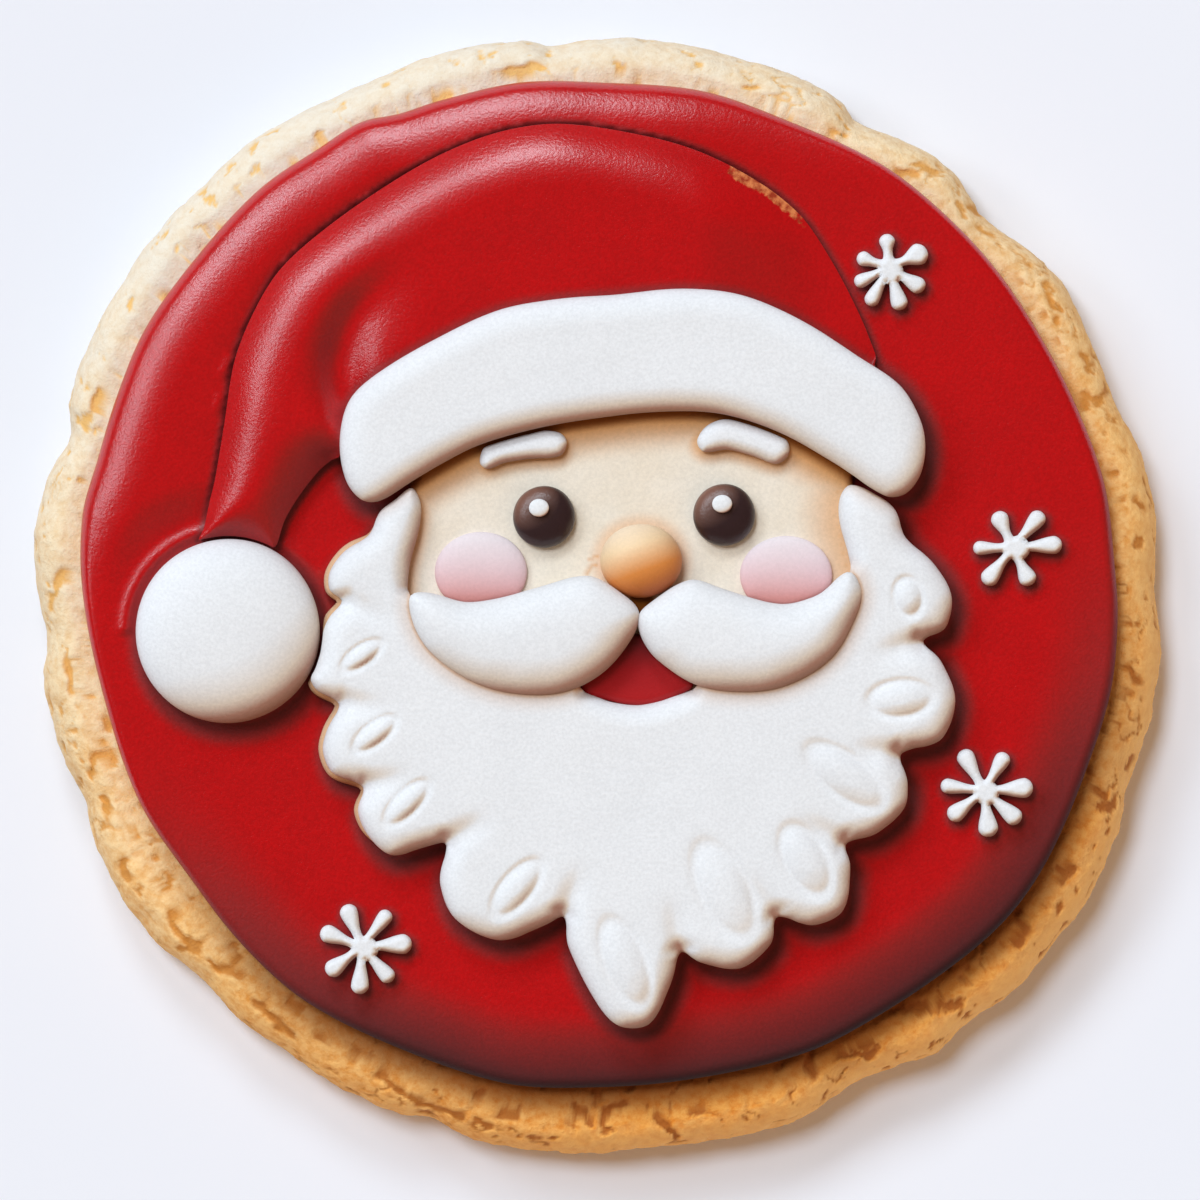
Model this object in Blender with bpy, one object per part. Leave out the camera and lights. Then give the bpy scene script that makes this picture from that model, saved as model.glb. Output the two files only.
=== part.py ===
"""A round sugar biscuit iced as a bearded winter face in a red hat.

Metres, +Z up. The biscuit's flat base lies on z = 0, the origin is the middle of its outline, and +Y
points to the top of the hat. Outlines are hand-read points in pixels of the reference picture, which
place() scales so that the biscuit is BISCUIT_WIDTH across. Each piece of icing is a closed solid that
lies on the layer below it, with GAP between neighbours.
"""

import math

import bmesh
import bpy
import numpy as np
from mathutils import Vector, noise
from mathutils.geometry import delaunay_2d_cdt

# Driving sizes, and the degrees round the biscuit over which the roll fades in and out
BISCUIT_WIDTH = 0.100
BISCUIT_THICKNESS = 0.008
BISCUIT_BULGE_HEIGHT = 0.0032
BISCUIT_BASE_INSET = 0.0024
BISCUIT_SHOULDER = 0.0036
BISCUIT_LUMPS = 0.00025
GAP = 0.0003
JOINED_WITHIN = 0.0006

SHEET_THICKNESS = 0.0030
SHEET_EDGE_WIDTH = 0.0050
ROLL_RISE = 0.0022
ROLL_WIDTH = 0.0104
ROLL_FACE_WIDTH = 0.0009
ROLL_CLEAR_OF_POMPOM = 0.0014
ROLL_STARTS = (62, 88)
ROLL_ENDS = (165, 186)
HAT_THICKNESS = 0.0034
HAT_EDGE_WIDTH = 0.0050
HAT_RIGHT_SHARE = 0.4
CREASE_DEPTH = 0.0010
CREASE_WIDTH = 0.0012
HEAD_THICKNESS = 0.0014
HEAD_EDGE_WIDTH = 0.0008
HEAD_INSET = 0.0005
HEAD_SHOWING = 0.0004
BRIM_THICKNESS = 0.0033
BRIM_EDGE_WIDTH = 0.0034
BEARD_THICKNESS = 0.0026
BEARD_EDGE_WIDTH = 0.0022
MOUSTACHE_THICKNESS = 0.0048
MOUSTACHE_EDGE_WIDTH = 0.0040
MOUTH_THICKNESS = 0.0008
MOUTH_EDGE_WIDTH = 0.0008
CHEEK_THICKNESS = 0.0009
CHEEK_EDGE_WIDTH = 0.0016
BROW_THICKNESS = 0.0014
BROW_EDGE_WIDTH = 0.0014
NOSE_THICKNESS = 0.0038
EYE_THICKNESS = 0.0018
GLINT_THICKNESS = 0.0004
POMPOM_THICKNESS = 0.0050
SNOWFLAKE_THICKNESS = 0.0010
SNOWFLAKE_EDGE_WIDTH = 0.0008

# Each piece's upright wall, as a share of its thickness
WALL = 0.3
MOUSTACHE_WALL = 0.5
BEAD_WALL = 0.25

# Heights of the layers
SHEET_BASE = BISCUIT_THICKNESS + GAP
ON_SHEET = SHEET_BASE + SHEET_THICKNESS + GAP
ON_HEAD = ON_SHEET + HEAD_THICKNESS + GAP

# Reference picture
BISCUIT_WIDTH_PX = 1128
CENTRE_PX = (597, 596)
PIXEL = BISCUIT_WIDTH / BISCUIT_WIDTH_PX

BISCUIT_EDGE = [
    (400, 67), (451, 48), (525, 39), (550, 45), (579, 40), (624, 37), (719, 51), (800, 76), (843, 103),
    (855, 120), (902, 138), (953, 171), (986, 217), (1030, 249), (1068, 288), (1098, 355), (1116, 400),
    (1144, 459), (1156, 515), (1156, 591), (1161, 645), (1153, 719), (1132, 775), (1121, 828),
    (1093, 894), (1058, 943), (1017, 991), (968, 1024), (933, 1055), (871, 1076), (800, 1120),
    (706, 1143), (612, 1153), (540, 1153), (474, 1141), (433, 1119), (400, 1116), (332, 1086),
    (288, 1053), (237, 1019), (202, 981), (158, 945), (125, 902), (97, 854), (84, 800), (64, 762),
    (46, 701), (42, 668), (46, 635), (34, 579), (36, 510), (55, 461), (69, 433), (67, 400), (102, 314),
    (163, 224), (255, 138), (319, 102),
]
SHEET_EDGE = [
    (400, 113), (440, 100), (520, 82), (600, 82), (700, 90), (780, 117), (880, 163), (945, 214),
    (1001, 275), (1050, 352), (1086, 428), (1106, 489), (1115, 566), (1118, 617), (1112, 686),
    (1093, 752), (1055, 846), (1017, 907), (966, 956), (877, 1017), (800, 1055), (681, 1081),
    (579, 1088), (502, 1083), (400, 1049), (306, 1002), (242, 945), (189, 877), (138, 800), (101, 688),
    (82, 591), (82, 515), (97, 460), (115, 400), (145, 328), (200, 252), (260, 188), (320, 147),
    (360, 122),
]
HAT_GROOVE = [
    (202, 560), (208, 510), (215, 480), (225, 420), (235, 360), (255, 310), (280, 270), (320, 233),
    (380, 190), (440, 155), (500, 132), (560, 124), (640, 135), (700, 152), (760, 183), (800, 215),
    (825, 250), (850, 295), (870, 340), (878, 372),
]
HAT_LOWER = [
    (840, 358), (800, 332), (740, 308), (680, 302), (600, 309), (540, 312), (470, 334), (400, 374),
    (362, 405), (350, 432), (340, 452), (320, 470), (300, 495), (285, 520), (272, 552), (240, 560),
]
HAT_CREASE = [(352, 392), (341, 375), (343, 340), (356, 308)]
HAT_THINS = [(690, 0), (830, 0)]
BRIM_TOP = [
    (346, 480), (340, 440), (350, 400), (380, 372), (440, 337), (500, 310), (560, 299), (615, 295),
    (680, 289), (740, 295), (800, 320), (860, 358), (900, 386), (920, 420), (925, 447), (920, 475),
    (905, 494),
]
BRIM_BOTTOM = [
    (885, 496), (840, 467), (780, 433), (720, 414), (660, 412), (600, 418), (540, 428), (480, 445),
    (440, 465), (410, 483), (380, 501), (362, 500),
]
BEARD_LOBES = [
    (412, 488), (395, 500), (380, 512), (369, 535), (345, 551), (330, 572), (330, 590),
    (342, 601), (329, 618), (316, 652), (310, 675), (317, 690),
    (339, 704), (328, 728), (323, 750), (333, 773),
    (363, 787), (358, 810), (368, 835), (392, 855), (425, 847),
    (446, 844), (440, 880), (455, 918), (500, 940), (545, 925),
    (564, 917), (568, 945), (597, 1003), (620, 1026), (650, 1023), (672, 980),
    (681, 952), (700, 962), (740, 968), (771, 943),
    (777, 917), (812, 925), (843, 910), (850, 865),
    (846, 844), (875, 834), (904, 808), (907, 780),
    (901, 754), (940, 740), (955, 700), (940, 660),
    (923, 641), (945, 628), (951, 595), (932, 562), (905, 537), (895, 510), (875, 494), (850, 485),
]
BEARD_INNER = [
    (840, 497), (839, 520), (847, 550), (852, 570), (861, 592), (857, 617), (834, 658), (792, 685),
    (750, 693), (703, 688), (672, 697), (640, 705), (608, 701), (580, 690), (560, 694), (510, 694),
    (467, 681), (432, 655), (414, 629), (408, 600), (410, 565), (419, 530), (421, 505),
]
MOUSTACHE_LEFT_EDGE = [
    (413, 598), (430, 596), (465, 605), (500, 601), (540, 590), (588, 579), (620, 596), (636, 613),
    (629, 637), (600, 671), (560, 690), (510, 690), (470, 677), (435, 652), (418, 627),
]
MOUSTACHE_RIGHT_EDGE = [
    (641, 618), (651, 606), (690, 583), (720, 591), (780, 607), (820, 597), (848, 575), (858, 592),
    (853, 615), (830, 655), (790, 681), (750, 689), (700, 683), (660, 658), (645, 638),
]
MOUTH_EDGE = [
    (637, 638), (664, 660), (690, 682), (665, 696), (640, 701), (612, 697), (585, 686), (610, 660),
]
BROW_LEFT_EDGE = [
    (480, 463), (484, 448), (500, 438), (535, 431), (560, 433), (567, 443), (560, 456), (530, 459),
    (505, 463), (488, 469),
]
BROW_RIGHT_EDGE = [
    (697, 441), (708, 425), (730, 419), (760, 427), (786, 440), (789, 454), (777, 464), (755, 457),
    (728, 450), (704, 452),
]

# Round pieces: centre and radii, in pixels
POMPOM = (228, 631, 92, 92)
NOSE = (641, 561, 41, 37)
EYE_LEFT = (544, 517, 31, 31)
EYE_RIGHT = (724, 515, 31, 31)
GLINT_LEFT = (539, 508, 10, 9)
GLINT_RIGHT = (722, 504, 10, 9)
CHEEK_LEFT = (481, 572, 45, 39)
CHEEK_RIGHT = (786, 575, 45, 38)

# Raised ovals on the beard's lobes: centre, half length, half width in pixels, and tilt in degrees
# from the picture's horizontal, anticlockwise
PETALS = [
    (908, 597, 19, 14, 100), (900, 699, 31, 18, 5), (845, 776, 45, 20, -38), (805, 860, 37, 20, -62),
    (724, 890, 50, 24, -64), (625, 962, 44, 20, -68), (517, 888, 33, 15, 50), (407, 803, 28, 12, 45),
    (375, 734, 25, 11, 38), (362, 656, 23, 10, 35),
]
PETAL_GROOVE = 0.0004
PETAL_GROOVE_WIDTH = 0.2
PETAL_RISE = 0.0004
PETAL_RINGS = (0.72, 1.0, 1.28)
PETAL_SIDES = 12

# Snowflakes: the centre, then the centre and radius of each arm's round tip, in pixels
SNOWFLAKES = [
    ((889, 268), [(887, 242, 7.5), (917, 255, 10.5), (917, 285, 8), (899, 302, 8), (872, 299, 7),
                  (861, 281, 6.5), (864, 259, 7)]),
    ((1013, 548), [(1000, 520, 8.5), (1037, 519, 8), (1053, 545, 8.5), (1027, 577, 8.5),
                   (990, 577, 8.5), (980, 548, 6.5)]),
    ((984, 791), [(966, 758, 8.5), (1002, 760, 7.5), (1023, 788, 9.5), (1013, 816, 8.5),
                  (988, 827, 9.5), (956, 813, 8.5), (948, 786, 7)]),
    ((362, 947), [(349, 913, 8.5), (385, 917, 7), (402, 944, 9.5), (387, 975, 7.5), (360, 985, 8.5),
                  (334, 968, 8.5), (329, 934, 8.5)]),
]
SNOWFLAKE_HUB_PX = 10.5
SNOWFLAKE_NECK_PX = 17
SNOWFLAKE_NECK_HALF_WIDTH_PX = 4.2
SNOWFLAKE_TIP_ANGLES = (-80, -27, 27, 80)

# Mesh fineness
SPAN_STEPS = 3
BISCUIT_SPAN_STEPS = 2
CIRCLE_SIDES = 32
SMALL_CIRCLE_SIDES = 20
SHEET_SPACING = 0.0030
HEAD_SPACING = 0.0040
BROAD_SPACING = 0.0022
SMALL_SPACING = 0.0015
SNOWFLAKE_SPACING = 0.0008


def clear_scene():
    for obj in list(bpy.data.objects):
        bpy.data.objects.remove(obj, do_unlink=True)


def material(name, colour, roughness):
    made = bpy.data.materials.new(name)
    made.use_nodes = True
    shader = made.node_tree.nodes["Principled BSDF"]
    shader.inputs["Base Color"].default_value = (*colour, 1)
    shader.inputs["Roughness"].default_value = roughness
    shader.inputs["Metallic"].default_value = 0
    made.diffuse_color = (*colour, 1)
    return made


def place(points):
    """Picture pixels to metres about the biscuit's middle, as an array of (x, y)."""
    pixels = np.array(points, float)[:, :2]
    return (pixels - CENTRE_PX) * (PIXEL, -PIXEL)


def smooth(points, steps, closed=True):
    """A smooth curve through the points, as steps points to each span."""
    points = np.array(points, float)
    if closed:
        points = np.vstack([points[-1:], points, points[:2]])
    else:
        points = np.vstack([points[:1], points, points[-1:]])
    chord = np.linalg.norm(np.diff(points, axis=0), axis=1)
    tangent = (points[2:] - points[:-2]) / (chord[1:] + chord[:-1])[:, None]
    start, end, span = points[1:-2], points[2:-1], chord[1:-1, None]
    t = np.arange(steps)[:, None, None] / steps
    curve = (
        (2 * t**3 - 3 * t**2 + 1) * start
        + (t**3 - 2 * t**2 + t) * span * tangent[:-1]
        + (3 * t**2 - 2 * t**3) * end
        + (t**3 - t**2) * span * tangent[1:]
    )
    curve = curve.transpose(1, 0, 2).reshape(-1, 2)
    return curve if closed else np.vstack([curve, points[-1:]])


def circle(centre_x, centre_y, radius_x, radius_y, sides=CIRCLE_SIDES):
    turn = 2 * math.pi / sides
    return [
        (centre_x + radius_x * math.cos(i * turn), centre_y + radius_y * math.sin(i * turn))
        for i in range(sides)
    ]


def nearest(points, line, closed=True, kept=slice(None)):
    """For each point, the nearest point of a line, or of the line's kept spans."""
    start = line[kept] if closed else line[:-1]
    end = np.roll(line, -1, axis=0)[kept] if closed else line[1:]
    along = end - start
    squared = np.maximum((along**2).sum(1), 1e-18)
    best = np.full(len(points), np.inf)
    found = np.array(points, float)
    for first, step, length in zip(start, along, squared):
        t = np.clip(((points - first) @ step) / length, 0, 1)
        at = first + t[:, None] * step
        distance = ((points - at) ** 2).sum(1)
        closer = distance < best
        best[closer] = distance[closer]
        found[closer] = at[closer]
    return found


def distance_to(points, line, closed=True, kept=slice(None)):
    return np.linalg.norm(points - nearest(points, line, closed, kept), axis=1)


def inside(points, outline):
    """Whether each point lies inside a closed outline."""
    x, y = points[:, 0, None], points[:, 1, None]
    ax, ay = outline[:, 0], outline[:, 1]
    bx, by = np.roll(ax, -1), np.roll(ay, -1)
    rise = np.where(by == ay, 1e-12, by - ay)
    crossed = ((ay > y) != (by > y)) & (x < ax + (y - ay) * (bx - ax) / rise)
    return crossed.sum(1) % 2 == 1


def clear_of(outline, *neighbours):
    """The outline with each point that a neighbour covers, or lies nearer than GAP to, moved out."""
    outline = outline.copy()
    for _ in range(2):
        for other in neighbours:
            at = nearest(outline, other)
            away = outline - at
            distance = np.linalg.norm(away, axis=1)
            covered = inside(outline, other)
            away[covered] *= -1
            near = covered | (distance < GAP)
            direction = away / np.maximum(distance, 1e-9)[:, None]
            outline[near] = (at + direction * GAP)[near]
    return outline


def inward(outline):
    """The unit normals that point into a closed outline."""
    along = np.roll(outline, -1, axis=0) - np.roll(outline, 1, axis=0)
    normal = np.stack([-along[:, 1], along[:, 0]], axis=1)
    normal /= np.linalg.norm(normal, axis=1)[:, None]
    x, y = outline.T
    area = (x * np.roll(y, -1) - np.roll(x, -1) * y).sum()
    return normal if area > 0 else -normal


def beside(line, distance):
    """An open line moved to its left by a distance."""
    along = np.gradient(line, axis=0)
    along /= np.linalg.norm(along, axis=1)[:, None]
    return line + np.stack([-along[:, 1], along[:, 0]], axis=1) * distance


def rounded(depth, width):
    """A quarter-round edge: 0 at the outline, 1 from width inwards."""
    return np.sqrt(1 - (1 - np.clip(depth / width, 0, 1)) ** 2)


def fade(value, start, end):
    """0 before start, 1 after end, smooth between."""
    t = np.clip((value - start) / (end - start), 0, 1)
    return t * t * (3 - 2 * t)


def soft_depth(points, outline, joined):
    """How far inside the outline a point lies, eased along the middle so that no ridge forms.

    The spans that lie against a joined neighbour don't count."""
    ahead = np.roll(outline, -1, axis=0)
    middle = (outline + ahead) / 2
    free = np.full(len(outline), True)
    for other in joined:
        free &= distance_to(middle, other) > JOINED_WITHIN
    middle = middle[free]
    length = np.linalg.norm(ahead - outline, axis=1)[free]
    squared = ((points[:, None] - middle[None]) ** 2).sum(2)
    pull = (length / np.maximum(squared, 1e-10) ** 2).sum(1)
    eased = (2 * pull / math.pi) ** (-1 / 3)
    exact = distance_to(points, outline, kept=free)
    share = fade(exact, 0, 2.5 * length.mean())
    return exact * (1 - share) + eased * share


def inner_points(outline, spacing, rings):
    """Points inside the outline: a ring at each given depth, then rows spacing apart."""
    found = [outline + inward(outline) * depth for depth in rings]
    low, high = outline.min(0), outline.max(0)
    rows = np.arange(low[1], high[1], spacing * math.sqrt(0.75))
    for number, y in enumerate(rows):
        x = np.arange(low[0] + (number % 2) * spacing / 2, high[0], spacing)
        found.append(np.stack([x, np.full(len(x), y)], axis=1))
    depths = [0.8 * depth for depth in rings] + [max(rings) + spacing / 2] * len(rows)
    kept = [
        batch[inside(batch, outline) & (distance_to(batch, outline) > least)]
        for batch, least in zip(found, depths)
    ]
    return np.vstack(kept)


def icing(
    name, outline, base, thickness, edge, spacing, finish,
    relief=None, rings=(0.12, 0.4, 0.8), guides=(), wall=WALL, joined=(),
):
    """A closed pillow of icing: flat below, a low wall and a rounded edge.

    relief(points, rise) then gives each point's final height above the base. The edge rings lie
    at the given shares of the edge's width, and the faces follow the guide lines. The icing keeps its
    full height where it lies against a joined neighbour."""
    inner = inner_points(outline, spacing, [share * edge for share in rings])
    count = len(outline)
    sides = [(i, (i + 1) % count) for i in range(count)]
    points = [outline]
    for guide in guides:
        inner = inner[distance_to(inner, guide, closed=False) > 0.3 * spacing]
        sides += [(count + i, count + i + 1) for i in range(len(guide) - 1)]
        count += len(guide)
        points.append(guide)
    points = np.vstack(points + [inner])
    flat, _, faces, _, _, _ = delaunay_2d_cdt([Vector(p) for p in points], sides, [], 1, 1e-9)
    flat = np.array([tuple(p) for p in flat])
    wall *= thickness
    rise = wall + (thickness - wall) * rounded(soft_depth(flat, outline, joined), edge)
    if relief:
        rise = relief(flat, rise)
    mesh = bmesh.new()
    corners = [mesh.verts.new((*p, base + z)) for p, z in zip(flat, rise)]
    for face in faces:
        mesh.faces.new([corners[i] for i in face])
    border = [edge for edge in mesh.edges if edge.is_boundary]
    lowered = bmesh.ops.extrude_edge_only(mesh, edges=border)["geom"]
    for corner in lowered:
        if isinstance(corner, bmesh.types.BMVert):
            corner.co.z = base
    loop = [part for part in lowered if isinstance(part, bmesh.types.BMEdge) and part.is_boundary]
    bmesh.ops.edgeloop_fill(mesh, edges=loop)
    return finished(name, mesh, finish)


def bead(name, disc, base, thickness, finish, sides=CIRCLE_SIDES, dome_step=15):
    """A round or oval drop: a turned profile of a low wall and a dome, widened to its two radii."""
    centre_x, centre_y, radius_x, radius_y = disc
    wall = BEAD_WALL * thickness
    profile = [(0, thickness)]
    for degrees in range(90 - dome_step, -1, -dome_step):
        angle = math.radians(degrees)
        profile.append((math.cos(angle), wall + (thickness - wall) * math.sin(angle)))
    profile += [(1, 0), (0, 0)]
    mesh = bmesh.new()
    corners = [mesh.verts.new((x * radius_x * PIXEL, 0, z)) for x, z in profile]
    for upper, lower in zip(corners, corners[1:]):
        mesh.edges.new((upper, lower))
    bmesh.ops.spin(
        mesh, geom=mesh.verts[:] + mesh.edges[:], axis=(0, 0, 1), cent=(0, 0, 0),
        angle=2 * math.pi, steps=sides, use_merge=True,
    )
    bmesh.ops.remove_doubles(mesh, verts=mesh.verts[:], dist=1e-7)
    (x, y), = place([(centre_x, centre_y)])
    for corner in mesh.verts:
        corner.co.x += x
        corner.co.y = y + corner.co.y * radius_y / radius_x
        corner.co.z += base
    return finished(name, mesh, finish)


def finished(name, mesh, finish):
    """The mesh as a smooth-shaded object in the biscuit's collection."""
    bmesh.ops.recalc_face_normals(mesh, faces=mesh.faces[:])
    data = bpy.data.meshes.new(name)
    mesh.to_mesh(data)
    mesh.free()
    data.shade_smooth()
    data.set_sharp_from_angle(angle=math.radians(50))
    data.materials.append(finish)
    obj = bpy.data.objects.new(name, data)
    bpy.data.collections["iced_biscuit"].objects.link(obj)
    return obj


def biscuit_rings():
    """The side's profile from base to top: how far each ring lies inside the outline, and its height."""
    rings = []
    for degrees in (0, 35, 65):
        angle = math.radians(degrees)
        inset = BISCUIT_BASE_INSET * (1 - math.sin(angle))
        rings.append((inset, BISCUIT_BULGE_HEIGHT * (1 - math.cos(angle))))
    for degrees in (0, 18, 36, 54, 72, 90):
        angle = math.radians(degrees)
        inset = BISCUIT_SHOULDER * (1 - math.cos(angle))
        above = (BISCUIT_THICKNESS - BISCUIT_BULGE_HEIGHT) * math.sin(angle)
        rings.append((inset, BISCUIT_BULGE_HEIGHT + above))
    return rings


def make_biscuit(finish):
    """Rings of the wavy outline from the flat base to the flat top, with small lumps on the side."""
    edge = smooth(place(BISCUIT_EDGE), BISCUIT_SPAN_STEPS)
    radius = np.linalg.norm(edge, axis=1)[:, None]
    rings = biscuit_rings()
    mesh = bmesh.new()
    loops = []
    for inset, height in rings:
        on_side = 0 < height < BISCUIT_THICKNESS
        loop = []
        for x, y in edge * (1 - inset / radius):
            lump = noise.noise(Vector((x, y, height)) / 0.004) * BISCUIT_LUMPS * on_side
            swell = 1 + lump / math.hypot(x, y)
            loop.append(mesh.verts.new((x * swell, y * swell, height + lump * (inset > 0))))
        loops.append(loop)
    for lower, upper in zip(loops, loops[1:]):
        for i in range(len(edge)):
            mesh.faces.new((lower[i - 1], lower[i], upper[i], upper[i - 1]))
    mesh.faces.new(loops[0])
    mesh.faces.new(loops[-1])
    return finished("biscuit", mesh, finish)


def roll_relief(sheet, hat, groove, pompom):
    """The raised roll that runs along the sheet's upper left, between its edge and the hat."""

    def relief(points, rise):
        to_groove = distance_to(points, groove, closed=False)
        to_edge = distance_to(points, sheet)
        to_pompom = distance_to(points, pompom)
        across = np.clip((to_groove - GAP) / np.maximum(to_groove + to_edge - GAP, 1e-6), 0, 1)
        crown = np.sqrt(np.clip(4 * across**0.8 * (1 - across**0.8), 0, 1))
        angle = np.degrees(np.arctan2(points[:, 1], points[:, 0])) % 360
        along = fade(angle, *ROLL_STARTS) * (1 - fade(angle, *ROLL_ENDS))
        clear = fade(to_pompom, ROLL_CLEAR_OF_POMPOM, 4 * ROLL_CLEAR_OF_POMPOM)
        near_edge = 1 - fade(to_edge, ROLL_WIDTH, 1.2 * ROLL_WIDTH)
        outside = ~inside(points, hat) & ~inside(points, pompom)
        return rise + ROLL_RISE * crown * along * near_edge * clear * outside

    return relief


def hat_relief():
    """The fold where the hat turns down into its tail, and the hat's thinner right end."""
    crease = smooth(place(HAT_CREASE), SPAN_STEPS * 2, closed=False)
    thins = place(HAT_THINS)[:, 0]

    def relief(points, rise):
        from_crease = distance_to(points, crease, closed=False)
        fold = CREASE_DEPTH * np.exp(-((from_crease / CREASE_WIDTH) ** 2))
        return rise * (1 - (1 - HAT_RIGHT_SHARE) * fade(points[:, 0], *thins)) - fold

    return relief


def petal_frames():
    """Each raised oval as its centre in metres and its two half axes as vectors."""
    for centre_x, centre_y, half_length, half_width, tilt in PETALS:
        turn = math.radians(tilt)
        along = np.array([math.cos(turn), math.sin(turn)])
        across = np.array([-along[1], along[0]])
        (centre,) = place([(centre_x, centre_y)])
        yield centre, along * half_length * PIXEL, across * half_width * PIXEL


def petal_guides():
    """Closed lines round each raised oval, for the beard's faces to follow."""
    turns = np.linspace(0, 2 * math.pi, PETAL_SIDES + 1)[:, None]
    for centre, along, across in petal_frames():
        for reach in PETAL_RINGS:
            yield centre + reach * (np.cos(turns) * along + np.sin(turns) * across)


def petal_relief(points, rise):
    """The beard's raised ovals, each with a shallow groove round it."""
    relief = rise.copy()
    for centre, along, across in petal_frames():
        offset = points - centre
        reach = np.hypot(offset @ along / (along @ along), offset @ across / (across @ across))
        groove = np.exp(-(((reach - 1) / PETAL_GROOVE_WIDTH) ** 2))
        relief += PETAL_RISE * (1 - fade(reach, 0.2, 0.95)) - PETAL_GROOVE * groove
    return relief


def head_outline(beard, brim, pompom):
    """The layer under the beard and the brim: just inside them, but showing past the beard's left."""
    outline = np.vstack([beard, brim])
    normals = inward(outline)
    left = 1 - fade(outline[:, 0], *place([(352, 0), (400, 0)])[:, 0])
    left *= outline[:, 1] < place([(0, 505)])[0, 1]
    shift = HEAD_INSET - (HEAD_INSET + HEAD_SHOWING) * left
    return clear_of(outline + normals * shift[:, None], pompom)


def snowflake_outline(centre, arms):
    """Each arm runs from the broad hub through a narrower neck to a round tip."""
    points = []
    centre = np.array(centre, float)
    ordered = sorted(arms, key=lambda arm: math.atan2(arm[1] - centre[1], arm[0] - centre[0]))
    directions = [math.atan2(y - centre[1], x - centre[0]) for x, y, _ in ordered]
    for number, (x, y, radius) in enumerate(ordered):
        heading = directions[number]
        before = directions[number - 1] - (2 * math.pi if number == 0 else 0)
        between = (heading + before) / 2
        points.append(centre + SNOWFLAKE_HUB_PX * np.array([math.cos(between), math.sin(between)]))
        along = np.array([math.cos(heading), math.sin(heading)])
        across = np.array([-along[1], along[0]])
        neck = centre + SNOWFLAKE_NECK_PX * along
        points.append(neck - SNOWFLAKE_NECK_HALF_WIDTH_PX * across)
        for degrees in SNOWFLAKE_TIP_ANGLES:
            angle = heading + math.radians(degrees)
            points.append((x + radius * math.cos(angle), y + radius * math.sin(angle)))
        points.append(neck + SNOWFLAKE_NECK_HALF_WIDTH_PX * across)
    return place(points)


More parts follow.
